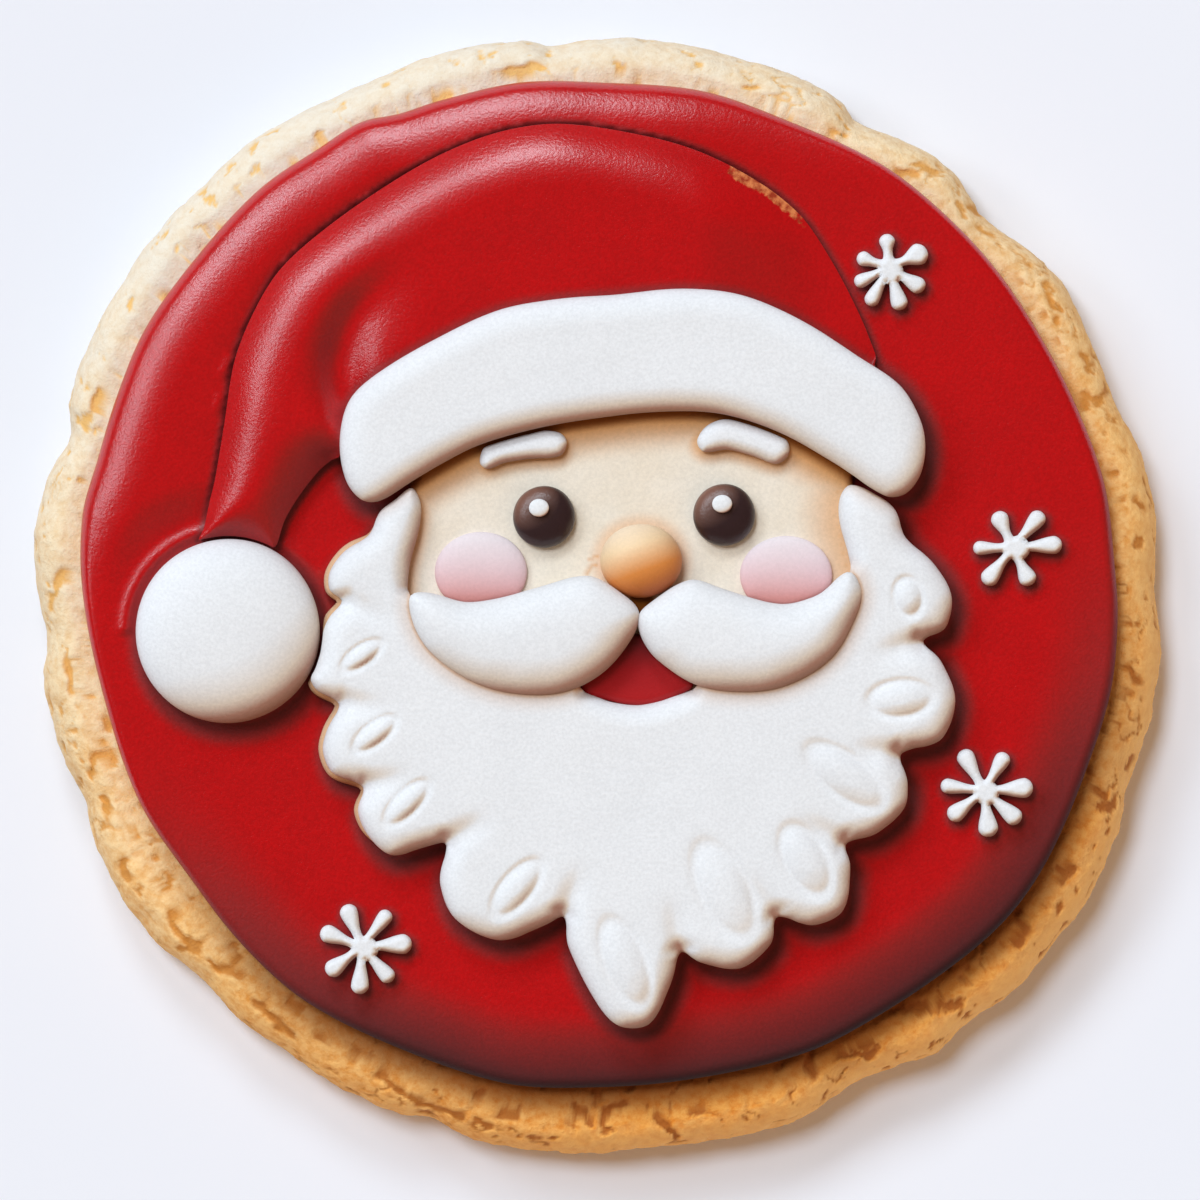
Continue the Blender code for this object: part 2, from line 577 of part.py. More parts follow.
def build():
    clear_scene()
    group = bpy.data.collections.new("iced_biscuit")
    bpy.context.scene.collection.children.link(group)

    dough = material("baked_dough", (0.80, 0.56, 0.28), 0.85)
    red = material("red_icing", (0.42, 0.012, 0.012), 0.45)
    white = material("white_icing", (0.82, 0.80, 0.78), 0.6)
    tan = material("tan_icing", (0.80, 0.64, 0.44), 0.65)
    pink = material("pink_icing", (0.82, 0.48, 0.50), 0.6)
    brown = material("brown_icing", (0.05, 0.022, 0.016), 0.35)
    orange = material("orange_icing", (0.82, 0.42, 0.16), 0.5)

    sheet = smooth(place(SHEET_EDGE), SPAN_STEPS)
    brim = smooth(place(BRIM_TOP + BRIM_BOTTOM), SPAN_STEPS)
    pompom = place(circle(*POMPOM))
    moustache_left = smooth(place(MOUSTACHE_LEFT_EDGE), SPAN_STEPS)
    moustache_right = clear_of(smooth(place(MOUSTACHE_RIGHT_EDGE), SPAN_STEPS), moustache_left)
    halves = (moustache_left, moustache_right)
    mouth = clear_of(smooth(place(MOUTH_EDGE), SPAN_STEPS), *halves)
    lobes = smooth(place(BEARD_LOBES), SPAN_STEPS, closed=False)
    beard = smooth(place(BEARD_LOBES + BEARD_INNER), SPAN_STEPS)
    beard = clear_of(beard, mouth, *halves, brim, pompom)
    brim_top = smooth(place(BRIM_TOP), SPAN_STEPS, closed=False)[::-1]
    head = head_outline(lobes, brim_top, pompom)
    groove = smooth(place(HAT_GROOVE), SPAN_STEPS, closed=False)
    hat = clear_of(smooth(place(HAT_GROOVE + HAT_LOWER), SPAN_STEPS), brim, pompom)

    make_biscuit(dough)
    icing("red_sheet", sheet, SHEET_BASE, SHEET_THICKNESS, SHEET_EDGE_WIDTH, SHEET_SPACING, red,
          roll_relief(sheet, hat, groove, pompom), rings=(0.1, 0.3, 0.6),
          guides=[beside(groove, GAP), beside(groove, ROLL_FACE_WIDTH)])
    icing("hat", hat, ON_SHEET, HAT_THICKNESS, HAT_EDGE_WIDTH, BROAD_SPACING, red, hat_relief(),
          joined=[brim])
    icing("head", head, ON_SHEET, HEAD_THICKNESS, HEAD_EDGE_WIDTH, HEAD_SPACING, tan, rings=(0.4,))
    icing("hat_brim", brim, ON_HEAD, BRIM_THICKNESS, BRIM_EDGE_WIDTH, BROAD_SPACING, white)
    icing("beard", beard, ON_HEAD, BEARD_THICKNESS, BEARD_EDGE_WIDTH, BROAD_SPACING, white, petal_relief,
          rings=(0.25,), guides=list(petal_guides()), joined=halves)
    for side, outline in zip(("left", "right"), halves):
        icing(f"moustache_{side}", outline, ON_HEAD, MOUSTACHE_THICKNESS, MOUSTACHE_EDGE_WIDTH,
              SMALL_SPACING, white, wall=MOUSTACHE_WALL)
    icing("mouth", mouth, ON_HEAD, MOUTH_THICKNESS, MOUTH_EDGE_WIDTH, SMALL_SPACING, red, rings=(0.5,))
    for side, disc in (("left", CHEEK_LEFT), ("right", CHEEK_RIGHT)):
        outline = clear_of(place(circle(*disc)), *halves)
        icing(f"cheek_{side}", outline, ON_HEAD, CHEEK_THICKNESS, CHEEK_EDGE_WIDTH, SMALL_SPACING, pink,
              rings=(0.5,))
    for side, edge in (("left", BROW_LEFT_EDGE), ("right", BROW_RIGHT_EDGE)):
        outline = clear_of(smooth(place(edge), SPAN_STEPS), brim)
        icing(f"brow_{side}", outline, ON_HEAD, BROW_THICKNESS, BROW_EDGE_WIDTH, SMALL_SPACING, white,
              rings=(0.4,))
    bead("pompom", POMPOM, ON_SHEET, POMPOM_THICKNESS, white)
    bead("nose", NOSE, ON_HEAD, NOSE_THICKNESS, orange)
    on_eye = ON_HEAD + EYE_THICKNESS + GAP
    for side, eye, glint in (("left", EYE_LEFT, GLINT_LEFT), ("right", EYE_RIGHT, GLINT_RIGHT)):
        bead(f"eye_{side}", eye, ON_HEAD, EYE_THICKNESS, brown, SMALL_CIRCLE_SIDES)
        bead(f"eye_glint_{side}", glint, on_eye, GLINT_THICKNESS, white, SMALL_CIRCLE_SIDES, dome_step=45)
    for number, (centre, arms) in enumerate(SNOWFLAKES, 1):
        outline = snowflake_outline(centre, arms)
        icing(f"snowflake_{number}", outline, ON_SHEET, SNOWFLAKE_THICKNESS, SNOWFLAKE_EDGE_WIDTH,
              SNOWFLAKE_SPACING, white, rings=(0.4,))


build()
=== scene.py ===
"""The looks of a round sugar biscuit iced as a bearded winter face in a red hat.

Metres, +Z up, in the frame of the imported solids. Each solid is replaced by a fine mesh that is grown from
the solid's own outline, sits on the layer below it, and carries the relief of the real thing: cracked
dough, rounded icing, folds and raised ovals. Places read from the reference picture are in its pixels.
"""

import math

import bmesh
import bpy
import numpy as np
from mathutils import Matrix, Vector, noise
from mathutils.geometry import delaunay_2d_cdt


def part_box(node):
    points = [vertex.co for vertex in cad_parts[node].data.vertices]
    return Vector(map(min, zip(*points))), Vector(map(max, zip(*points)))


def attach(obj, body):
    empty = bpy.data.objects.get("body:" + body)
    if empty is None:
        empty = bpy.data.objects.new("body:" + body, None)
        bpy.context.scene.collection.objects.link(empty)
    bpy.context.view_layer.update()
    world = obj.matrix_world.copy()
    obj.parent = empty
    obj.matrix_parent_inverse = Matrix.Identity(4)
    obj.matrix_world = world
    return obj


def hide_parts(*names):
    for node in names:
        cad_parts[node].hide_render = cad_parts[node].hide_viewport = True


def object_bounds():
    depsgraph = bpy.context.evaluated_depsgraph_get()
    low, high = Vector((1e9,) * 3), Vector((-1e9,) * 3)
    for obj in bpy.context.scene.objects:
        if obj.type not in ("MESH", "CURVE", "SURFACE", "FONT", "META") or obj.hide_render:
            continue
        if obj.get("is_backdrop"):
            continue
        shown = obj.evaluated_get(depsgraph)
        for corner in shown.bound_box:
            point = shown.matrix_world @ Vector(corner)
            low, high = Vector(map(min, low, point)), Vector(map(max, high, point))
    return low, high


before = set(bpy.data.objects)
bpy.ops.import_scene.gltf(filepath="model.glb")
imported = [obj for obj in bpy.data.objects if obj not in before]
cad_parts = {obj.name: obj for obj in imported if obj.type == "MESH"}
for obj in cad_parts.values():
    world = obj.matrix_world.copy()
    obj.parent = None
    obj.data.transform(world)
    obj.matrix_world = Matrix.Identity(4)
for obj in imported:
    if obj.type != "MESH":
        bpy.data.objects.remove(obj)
cad_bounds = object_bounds()

# Reference picture
PICTURE_PX = 1200
PIXEL = 0.100 / 1128
CENTRE_PX = (597, 596)

# The gap between two solids, how far a piece sinks into what it lies on, and how near its neighbours touch
GAP = 0.0003
SINK = 0.0001
JOINED_WITHIN = 0.0009

# Edges: the wall is a share of a piece's thickness, and its foot is tucked in by a share of the wall
WALL = 0.3
WALL_TUCK = 0.4
WALL_TURNS = (30, 60, 90)
BEAD_WALL = 0.25
BEAD_TUCK = 0.35
BEAD_WALL_SHARES = (0.5, 0.8, 1)
EDGE_DEPTHS = (0.05, 0.2, 0.5, 1.0, 1.7, 2.5)
EASED_FROM = 0.0012

# How uneven the domed drops are, as a share of their radius, and how close their lumps lie
DROP_UNEVEN = 0.01
DROP_LUMPS_PER_METRE = 300

# The biscuit
BISCUIT_RADIUS = 0.05
BISCUIT_THICKNESS = 0.008
BISCUIT_BULGE_HEIGHT = 0.0032
BISCUIT_BASE_INSET = 0.0024
BISCUIT_SHOULDER = 0.0028
BISCUIT_SPACING = 0.00028
BASE_RINGS = (0.030, 0.020, 0.013, 0.008, 0.005, 0.0034)
BASE_SMOOTH_TO = 0.0003
DOUGH_SHOWS = 0.0125
FINE_RINGS = (0.0039, DOUGH_SHOWS, 0.0003)
TOP_RINGS = (0.014, 0.017, 0.025)
TOP_SINKS = 0.00012

# Its roughness, as heights and lump sizes, and how much it grows towards the browner, shaded lower right
EDGE_WAVE = 0.00018
EDGE_WAVE_SIZE = 0.0035
DOUGH_LUMPS = 0.00016
DOUGH_LUMP_SIZE = 0.0045
DOUGH_CRUMB = 0.00008
DOUGH_CRUMB_SIZE = 0.0014
DOUGH_GRAIN = 0.00005
DOUGH_GRAIN_SIZE = 0.0006
BROWNED_AND_SHADED_SIDE = (0.5, -0.86)
BROWNED_ROUGHER = 0.8

# Its cracks and pits: the traced cracks, then pits and fine cracks as shares of their depth
CRACK_DEPTH = 0.00044
CRACK_WIDTH = 0.00034
CRACK_WIDTH_SIZE = 0.0016
CRACK_WANDER = 0.00040
CRACK_WANDER_SIZE = 0.0012
PIT_SHARE = 0.7
PIT_SIZE = 0.0018
FINE_CRACK_SHARE = 0.6
FINE_CRACK_SIZE = 0.0042
FINE_CRACK_PATCH = 0.0060
DOUGH_CRACKS = [
    [(169, 876), (168, 905), (178, 932), (196, 952)], [(208, 964), (222, 970), (240, 977)],
    [(255, 1002), (272, 1016), (292, 1036)], [(316, 1034), (336, 1044), (358, 1060)],
    [(383, 1075), (405, 1096), (432, 1108), (462, 1116)], [(100, 742), (94, 760), (90, 778)],
    [(103, 797), (107, 812)], [(128, 828), (134, 836), (138, 852)], [(124, 862), (126, 880)],
    [(68, 662), (74, 690)], [(62, 572), (54, 590), (50, 610)], [(97, 392), (94, 412)],
    [(124, 352), (121, 362)], [(207, 226), (222, 222)], [(312, 150), (326, 141)],
    [(440, 96), (460, 89)], [(496, 78), (520, 68), (546, 66)], [(744, 88), (758, 87)],
    [(832, 132), (846, 134)], [(900, 170), (916, 172)], [(926, 168), (936, 172)],
    [(970, 206), (980, 213)], [(1048, 296), (1056, 306), (1062, 310)], [(1056, 318), (1058, 326)],
    [(1086, 358), (1092, 364)], [(1098, 402), (1104, 394)], [(1108, 472), (1118, 473)],
    [(1136, 500), (1144, 508)], [(1131, 668), (1138, 682)], [(1096, 784), (1106, 800)],
    [(1074, 868), (1062, 886)], [(1010, 906), (1022, 918), (1026, 928), (1018, 946)],
    [(905, 1010), (926, 1006), (950, 1004)], [(808, 1066), (828, 1060), (850, 1056), (872, 1054)],
    [(812, 1054), (810, 1074)], [(650, 1112), (664, 1124), (676, 1136)],
    [(575, 1104), (586, 1116), (592, 1126)], [(608, 1110), (622, 1106)], [(500, 1118), (520, 1112)],
]

# Where the dough is shaded beside the low side of the sheet, as distances from the sheet
SHADE_FADES = (0.0002, 0.0046)

# The sheet of red icing
SHEET_THICKNESS = 0.0030
SHEET_SPACING = 0.0004
SHEET_UNEVEN = (0.00005, 0.009, 11)
SHEET_EDGE_WIDTH = 0.0008
SHEET_WALL = 0.6
ROLL_RISE = 0.0007
ROLL_EDGE_WIDTH = 0.0048
ROLL_EDGE_DROP = 0.00095
ROLL_WIDTH = 0.0104
ROLL_AT_HAT = 0.7
ROLL_NICKS = [
    [(217, 410), (219, 396)], [(223, 374), (228, 360)], [(244, 347), (254, 335)], [(284, 266), (297, 252)],
    [(362, 202), (380, 191)],
]
NICK_HEIGHT = 0.0002
NICK_WIDTH = 0.00026
ROLL_CLEAR_OF_POMPOM = 0.0014
ROLL_STARTS = (52, 84)
ROLL_ENDS = (165, 186)
LOW_SIDE = (0.25, -0.97)
LOW_SIDE_WIDTH = 0.0062
LOW_SIDE_DROP = 0.0009
POMPOM_LIP = 0.0003
POMPOM_LIP_WIDTH = 0.0005
POMPOM_LIP_BESIDE = 0.0010

# The strip along the hat's right edge where the dough shows through
BARE_STRIP = [(722, 164), (742, 174), (764, 187), (784, 201), (799, 217), (812, 237)]
BARE_WIDTH = 0.0008
BARE_STRENGTH = 0.65

# The hat
HAT_THICKNESS = 0.0034
HAT_SPACING = 0.0003
HAT_UNEVEN = (0.00004, 0.007, 12)
HAT_EDGE_WIDTH = 0.0052
HAT_WALL = 0.36
HAT_RIGHT_SHARE = 0.3
HAT_THINS = [(690, 0), (830, 0)]
HAT_FOLD = [(349, 412), (341, 385), (341, 352), (354, 318), (383, 288), (430, 266)]
FOLD_DEPTH = 0.0015
FOLD_WIDTH_LEFT = 0.0019
FOLD_WIDTH_RIGHT = 0.0027
FOLD_PAST_END = 0.002

# The layer of the face
HEAD_THICKNESS = 0.0014
HEAD_EDGE_WIDTH = 0.0008
HEAD_SPACING = 0.0003
HEAD_UNEVEN = (0.00005, 0.003, 21)
FACE_MIDDLE = (632, 520)
FACE_RIGHT_WIDTH = 0.015
FACE_CRACKS = [
    [(837, 482), (839, 506), (838, 530), (842, 552), (849, 574)], [(586, 574), (592, 564), (601, 567)],
    [(590, 559), (600, 555)],
]
FACE_CRACK_WIDTH = 0.00016
NOSE_CORNER = (641, 605)

# The white pieces
BRIM_THICKNESS = 0.0033
BRIM_EDGE_WIDTH = 0.0026
BRIM_WALL = 0.5
BRIM_SPACING = 0.0003
BRIM_UNEVEN = (0.00006, 0.006, 22)
BEARD_THICKNESS = 0.0026
BEARD_EDGE_WIDTH = 0.0022
BEARD_SPACING = 0.00026
BEARD_UNEVEN = (0.00004, 0.006, 13)
MOUSTACHE_THICKNESS = 0.0048
MOUSTACHE_EDGE_WIDTH = 0.0040
MOUSTACHE_WALL = 0.5
MOUSTACHE_SWELL = 0.00028
MOUSTACHE_SPACING = 0.00025
MOUSTACHE_UNEVEN = (0.00005, 0.004, 23)
BROW_THICKNESS = 0.0014
BROW_EDGE_WIDTH = 0.0014
BROW_SPACING = 0.00015
SNOWFLAKE_THICKNESS = 0.0014
SNOWFLAKE_EDGE_WIDTH = 0.0006
SNOWFLAKE_WALL = 0.5
SNOWFLAKE_SWELL = 0.00005
SNOWFLAKE_HUB = 0.00106
SNOWFLAKE_SPACING = 0.00014

# The mouth and the cheeks
MOUTH_THICKNESS = 0.0008
MOUTH_EDGE_WIDTH = 0.0008
MOUTH_SWELL = 0.0004
MOUTH_SPACING = 0.0002
CHEEK_THICKNESS = 0.0009
CHEEK_EDGE_WIDTH = 0.0026
CHEEK_WALL = 0.12
CHEEK_SWELL = 0.0001
CHEEK_SPACING = 0.0002

# Colour marks of painted shade and painted shadow round the pieces: how far each reaches, how strong it is,
# and where it is moved to
LINE_FADES = (0.0003, 0.0008)
LOW_EDGE_MARK = {"reach": 0.0076, "strength": 0.95}
UNDER_PIECE_MARK = {"reach": 0.0019, "strength": 0.85, "offset": (0.0005, -0.0007)}
BESIDE_HAT_MARK = {"reach": 0.0008, "strength": 0.75}
UNDER_SNOWFLAKE_MARK = {"reach": 0.0009, "strength": 0.7, "offset": (0.0002, -0.0003)}
HAT_AT_BRIM_MARK = {"reach": 0.0010, "strength": 0.5}
BEARD_MARK = {"reach": 0.0022, "strength": 0.52, "line": 0.9}

# Raised ovals on the beard: centre, half length, half width in pixels, and tilt in degrees
PETALS = [
    (908, 597, 19, 14, 100), (900, 699, 31, 18, 5), (845, 776, 45, 20, -38), (805, 860, 37, 20, -62),
    (724, 890, 50, 24, -64), (625, 962, 44, 20, -68), (517, 888, 33, 15, 50), (407, 803, 28, 12, 45),
    (375, 734, 25, 11, 38), (362, 656, 23, 10, 35),
]
PETAL_GROOVE = 0.00018
PETAL_GROOVE_WIDTH = 0.18
PETAL_RISE = 0.00030

# Where two lobes of the beard meet: each valley runs from here towards the beard's middle
LOBE_CUSPS = [
    (342, 601), (339, 704), (363, 787), (446, 844), (564, 917), (681, 952), (777, 917), (846, 844),
    (901, 754), (923, 641),
]
BEARD_MIDDLE = (632, 730)
VALLEY_START = 0.0005
VALLEY_LENGTH = 0.0060
VALLEY_WIDTH = 0.0011
VALLEY_DEPTH = 0.0006

# The direction that a surface faces when it faces away from the light
LOW_FACING = (0.5, -0.866, 0)

# Light: name, elevation and azimuth in degrees, strength, spread in degrees, colour, and whether it glints
DAYLIGHT = (0.80, 0.91, 1.0)
WARM_LIGHT = (1.0, 0.70, 0.42)
LIGHTS = [
    ("key", 68, 130, 1.42, 18, DAYLIGHT, False),
    ("window_top", 42, 101, 0.90, 17, DAYLIGHT, True),
    ("window_corner", 42, 134, 0.74, 17, DAYLIGHT, True),
    ("window_left", 42, 162, 0.45, 17, DAYLIGHT, True),
    ("fill", 28, -52, 0.6, 60, WARM_LIGHT, False),
]
SKY_LIGHT = (0.24, 0.175, 0.125, 1)
SKY_REFLECTED = (0.025, 0.022, 0.02, 1)

# Floor and camera
FLOOR_RADIUS = 7
CAMERA_DISTANCE = 3.0
CAMERA_SEES_TO = 20
SENSOR_WIDTH = 36


def place(points):
    """Picture pixels to metres about the biscuit's middle, as an array of (x, y)."""
    pixels = np.array(points, float)[:, :2]
    return (pixels - CENTRE_PX) * (PIXEL, -PIXEL)


def smooth(points, steps, closed=True):
    """A smooth curve through the points, as steps points to each span."""
    points = np.array(points, float)
    if closed:
        points = np.vstack([points[-1:], points, points[:2]])
    else:
        points = np.vstack([points[:1], points, points[-1:]])
    chord = np.linalg.norm(np.diff(points, axis=0), axis=1)
    tangent = (points[2:] - points[:-2]) / (chord[1:] + chord[:-1])[:, None]
    start, end, span = points[1:-2], points[2:-1], chord[1:-1, None]
    t = np.arange(steps)[:, None, None] / steps
    curve = (
        (2 * t**3 - 3 * t**2 + 1) * start
        + (t**3 - 2 * t**2 + t) * span * tangent[:-1]
        + (3 * t**2 - 2 * t**3) * end
        + (t**3 - t**2) * span * tangent[1:]
    )
    curve = curve.transpose(1, 0, 2).reshape(-1, 2)
    return curve if closed else np.vstack([curve, points[-1:]])


def even(points, spacing, closed=True):
    """Evenly spaced points along the smooth curve through the given ones."""
    curve = smooth(points, 10, closed)
    if closed:
        curve = np.vstack([curve, curve[:1]])
    travelled = np.concatenate([[0], np.cumsum(np.linalg.norm(np.diff(curve, axis=0), axis=1))])
    count = max(8, round(travelled[-1] / spacing))
    at = np.linspace(0, travelled[-1], count + 1)
    if closed:
        at = at[:-1]
    return np.stack([np.interp(at, travelled, curve[:, axis]) for axis in (0, 1)], axis=1)


def foot(node):
    """The outline of a solid's flat underside, anticlockwise."""
    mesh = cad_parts[node].data
    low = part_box(node)[0][2]
    numbers = {}
    number_of = {}
    corners = []
    for vertex in mesh.vertices:
        if vertex.co.z > low + 1e-5:
            continue
        key = (round(vertex.co.x, 6), round(vertex.co.y, 6))
        if key not in numbers:
            numbers[key] = len(corners)
            corners.append(tuple(vertex.co.xy))
        number_of[vertex.index] = numbers[key]
    mesh.calc_loop_triangles()
    triangles = [[number_of.get(i) for i in triangle.vertices] for triangle in mesh.loop_triangles]
    outline = np.array([corners[i] for i in border(ring for ring in triangles if None not in ring)])
    x, y = outline.T
    area = (x * np.roll(y, -1) - np.roll(x, -1) * y).sum()
    return outline if area > 0 else outline[::-1]


def nearest(points, line, closed=True, kept=slice(None)):
    """For each point, the nearest point of a line, or of the line's kept spans."""
    start = line[kept] if closed else line[:-1]
    end = np.roll(line, -1, axis=0)[kept] if closed else line[1:]
    along = end - start
    squared = np.maximum((along**2).sum(1), 1e-18)
    best = np.full(len(points), np.inf)
    found = np.array(points, float)
    for first, step, length in zip(start, along, squared):
        t = np.clip(((points - first) @ step) / length, 0, 1)
        at = first + t[:, None] * step
        distance = ((points - at) ** 2).sum(1)
        closer = distance < best
        best[closer] = distance[closer]
        found[closer] = at[closer]
    return found


def distance_to(points, line, closed=True, kept=slice(None)):
    """How far each point is from a line, or from the line's kept spans."""
    return np.linalg.norm(points - nearest(points, line, closed, kept), axis=1)


def in_parts(function, points, size=3000):
    """A function's values for many points, worked out for a few thousand at a time."""
    return np.concatenate([function(points[i : i + size]) for i in range(0, len(points), size)])


def inside(points, outline):
    """Whether each point lies inside a closed outline."""
    ax, ay = outline[:, 0], outline[:, 1]
    bx, by = np.roll(ax, -1), np.roll(ay, -1)
    rise = np.where(by == ay, 1e-12, by - ay)

    def part(batch):
        x, y = batch[:, 0, None], batch[:, 1, None]
        crossed = ((ay > y) != (by > y)) & (x < ax + (y - ay) * (bx - ax) / rise)
        return crossed.sum(1) % 2 == 1

    return in_parts(part, points)


def border(faces):
    """The outer loop of a flat mesh's faces, in the order in which they turn."""
    sides = set()
    for face in faces:
        sides.update(zip(face, face[1:] + face[:1]))
    following = {a: b for a, b in sides if (b, a) not in sides}
    loop = [min(following)]
    while following[loop[-1]] != loop[0]:
        loop.append(following[loop[-1]])
    return loop


def inward(outline):
    """The unit normals that point into an anticlockwise outline."""
    along = np.roll(outline, -1, axis=0) - np.roll(outline, 1, axis=0)
    normal = np.stack([-along[:, 1], along[:, 0]], axis=1)
    return normal / np.linalg.norm(normal, axis=1)[:, None]


def rounded(depth, width):
    """A quarter-round edge: 0 at the outline, 1 from width inwards."""
    return np.sqrt(1 - (1 - np.clip(depth / width, 0, 1)) ** 2)


def sloped(depth, width):
    """A softly sloping edge, which is less steep than a quarter-round one."""
    return 1 - (1 - np.clip(depth / width, 0, 1)) ** 2


def fade(value, start, end):
    """0 before start, 1 after end, smooth between."""
    t = np.clip((value - start) / (end - start), 0, 1)
    return t * t * (3 - 2 * t)


def noise_at(points, size, octaves=3, seed=0):
    """Smooth noise from -1 to 1 with lumps of the given size, at (x, y) or (x, y, z) points."""
    shift = Vector((seed * 17.3, seed * 9.1, seed * 5.7))
    deep = np.zeros((len(points), 3))
    deep[:, : points.shape[1]] = points
    return np.array([noise.fractal(Vector(p) / size + shift, 1, 2, octaves) for p in deep])


def unevenness(points, height, size, seed):
    """Gentle lumps of the given height and size."""
    return height * noise_at(points, size, 2, seed)


def soft_depth(points, outline, joined):
    """How far inside the outline a point lies, eased along the middle so that no ridge forms.

    The spans that lie against a joined neighbour don't count."""
    ahead = np.roll(outline, -1, axis=0)
    middle = (outline + ahead) / 2
    free = np.full(len(outline), True)
    for other in joined:
        free &= distance_to(middle, other) > JOINED_WITHIN
    exact = distance_to(points, outline, kept=free)
    middle = middle[free]
    length = np.linalg.norm(ahead - outline, axis=1)[free]

    def part(batch):
        squared = ((batch[:, None] - middle[None]) ** 2).sum(2)
        pull = (length / np.maximum(squared, 1e-10) ** 2).sum(1)
        return (2 * pull / math.pi) ** (-1 / 3)

    share = fade(exact, 0, EASED_FROM)
    return exact * (1 - share) + in_parts(part, points) * share


def inner_points(outline, spacing):
    """Points inside the outline: a few rings along the edge, then even rows."""
    depths = [share * spacing for share in EDGE_DEPTHS]
    found = [outline + inward(outline) * depth for depth in depths]
    low, high = outline.min(0), outline.max(0)
    rows = []
    for number, y in enumerate(np.arange(low[1], high[1], spacing * math.sqrt(0.75))):
        x = np.arange(low[0] + (number % 2) * spacing / 2, high[0], spacing)
        rows.append(np.stack([x, np.full(len(x), y)], axis=1))
    found.append(np.vstack(rows))
    least = [0.8 * depth for depth in depths] + [depths[-1] + spacing / 2]
    kept = []
    for batch, depth in zip(found, least):
        batch = batch[inside(batch, outline)]
        kept.append(batch[distance_to(batch, outline) > depth])
    return np.vstack(kept)


def finished(name, points, faces, finish, nodes, marks=None):
    """A smooth-shaded piece that stands for its nodes. Each mark has a value for each point."""
    data = bpy.data.meshes.new(name)
    data.from_pydata([tuple(p) for p in points], [], faces)
    mesh = bmesh.new()
    mesh.from_mesh(data)
    bmesh.ops.recalc_face_normals(mesh, faces=mesh.faces[:])
    mesh.to_mesh(data)
    mesh.free()
    for mark, values in (marks or {}).items():
        attribute = data.attributes.new(mark, "FLOAT", "POINT")
        attribute.data.foreach_set("value", np.array(values, np.float32))
    data.shade_smooth()
    data.materials.append(finish)
    piece = bpy.data.objects.new(name, data)
    bpy.context.scene.collection.objects.link(piece)
    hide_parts(*nodes)
    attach(piece, "root")
    return piece


def pressed(outline, neighbours):
    """The outline moved on to each neighbour that it all but touches."""
    for other in neighbours:
        close = nearest(outline, other)
        share = 1 - fade(np.linalg.norm(outline - close, axis=1), 1.5 * GAP, JOINED_WITHIN)
        outline = outline + (close - outline) * (1.1 * share)[:, None]
    return outline


def icing(
    node, thickness, edge, spacing, finish,
    relief=None, wall=WALL, joined=(), touching=(), marks=None, profile=rounded, swell=0.0, hub=0.0,
):
    """A pillow of icing over its solid's outline: a wall that tucks in below, a rounded edge, then relief.

    It is pressed against its joined and touching neighbours, and keeps its full height at the joined ones.
    A hub is the least distance of its outline from its middle.
    relief(points, rise) gives each point's final height above the solid's base."""
    outline = even(foot(node), spacing)
    middle = (outline.min(0) + outline.max(0)) / 2
    from_middle = np.linalg.norm(outline - middle, axis=1)[:, None]
    outline = middle + (outline - middle) * np.maximum(1, hub / from_middle)
    outline = pressed(outline - inward(outline) * swell, [*joined, *touching])
    points = np.vstack([outline, inner_points(outline, spacing)])
    sides = [(i, (i + 1) % len(outline)) for i in range(len(outline))]
    flat, _, faces, _, _, _ = delaunay_2d_cdt([Vector(p) for p in points], sides, [], 1, 1e-9)
    flat = np.array([tuple(p) for p in flat])
    wall *= thickness
    depth = soft_depth(flat, outline, joined)
    rise = wall + (thickness - wall) * profile(depth, edge)
    if relief:
        rise = relief(flat, rise)
    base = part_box(node)[0][2]
    foot_height = base - GAP - SINK
    corners = np.column_stack([flat, base + rise])
    loop = border(faces)
    around = flat[loop]
    into = inward(around)
    rings = [loop]
    for degrees in WALL_TURNS:
        angle = math.radians(degrees)
        height = foot_height + (base + rise[loop] - foot_height) * (1 - math.sin(angle))
        ring = around + into * (WALL_TUCK * wall * (1 - math.cos(angle)))
        rings.append(list(range(len(corners), len(corners) + len(loop))))
        corners = np.vstack([corners, np.column_stack([ring, height])])
    faces = [tuple(face) for face in faces]
    for upper, lower in zip(rings, rings[1:]):
        for i in range(len(loop)):
            faces.append((upper[i - 1], lower[i - 1], lower[i], upper[i]))
    faces.append(tuple(reversed(rings[-1])))
    values = {name: mark(corners) for name, mark in (marks or {}).items()}
    return finished(f"{node}_piece", corners, faces, finish, [node], values)


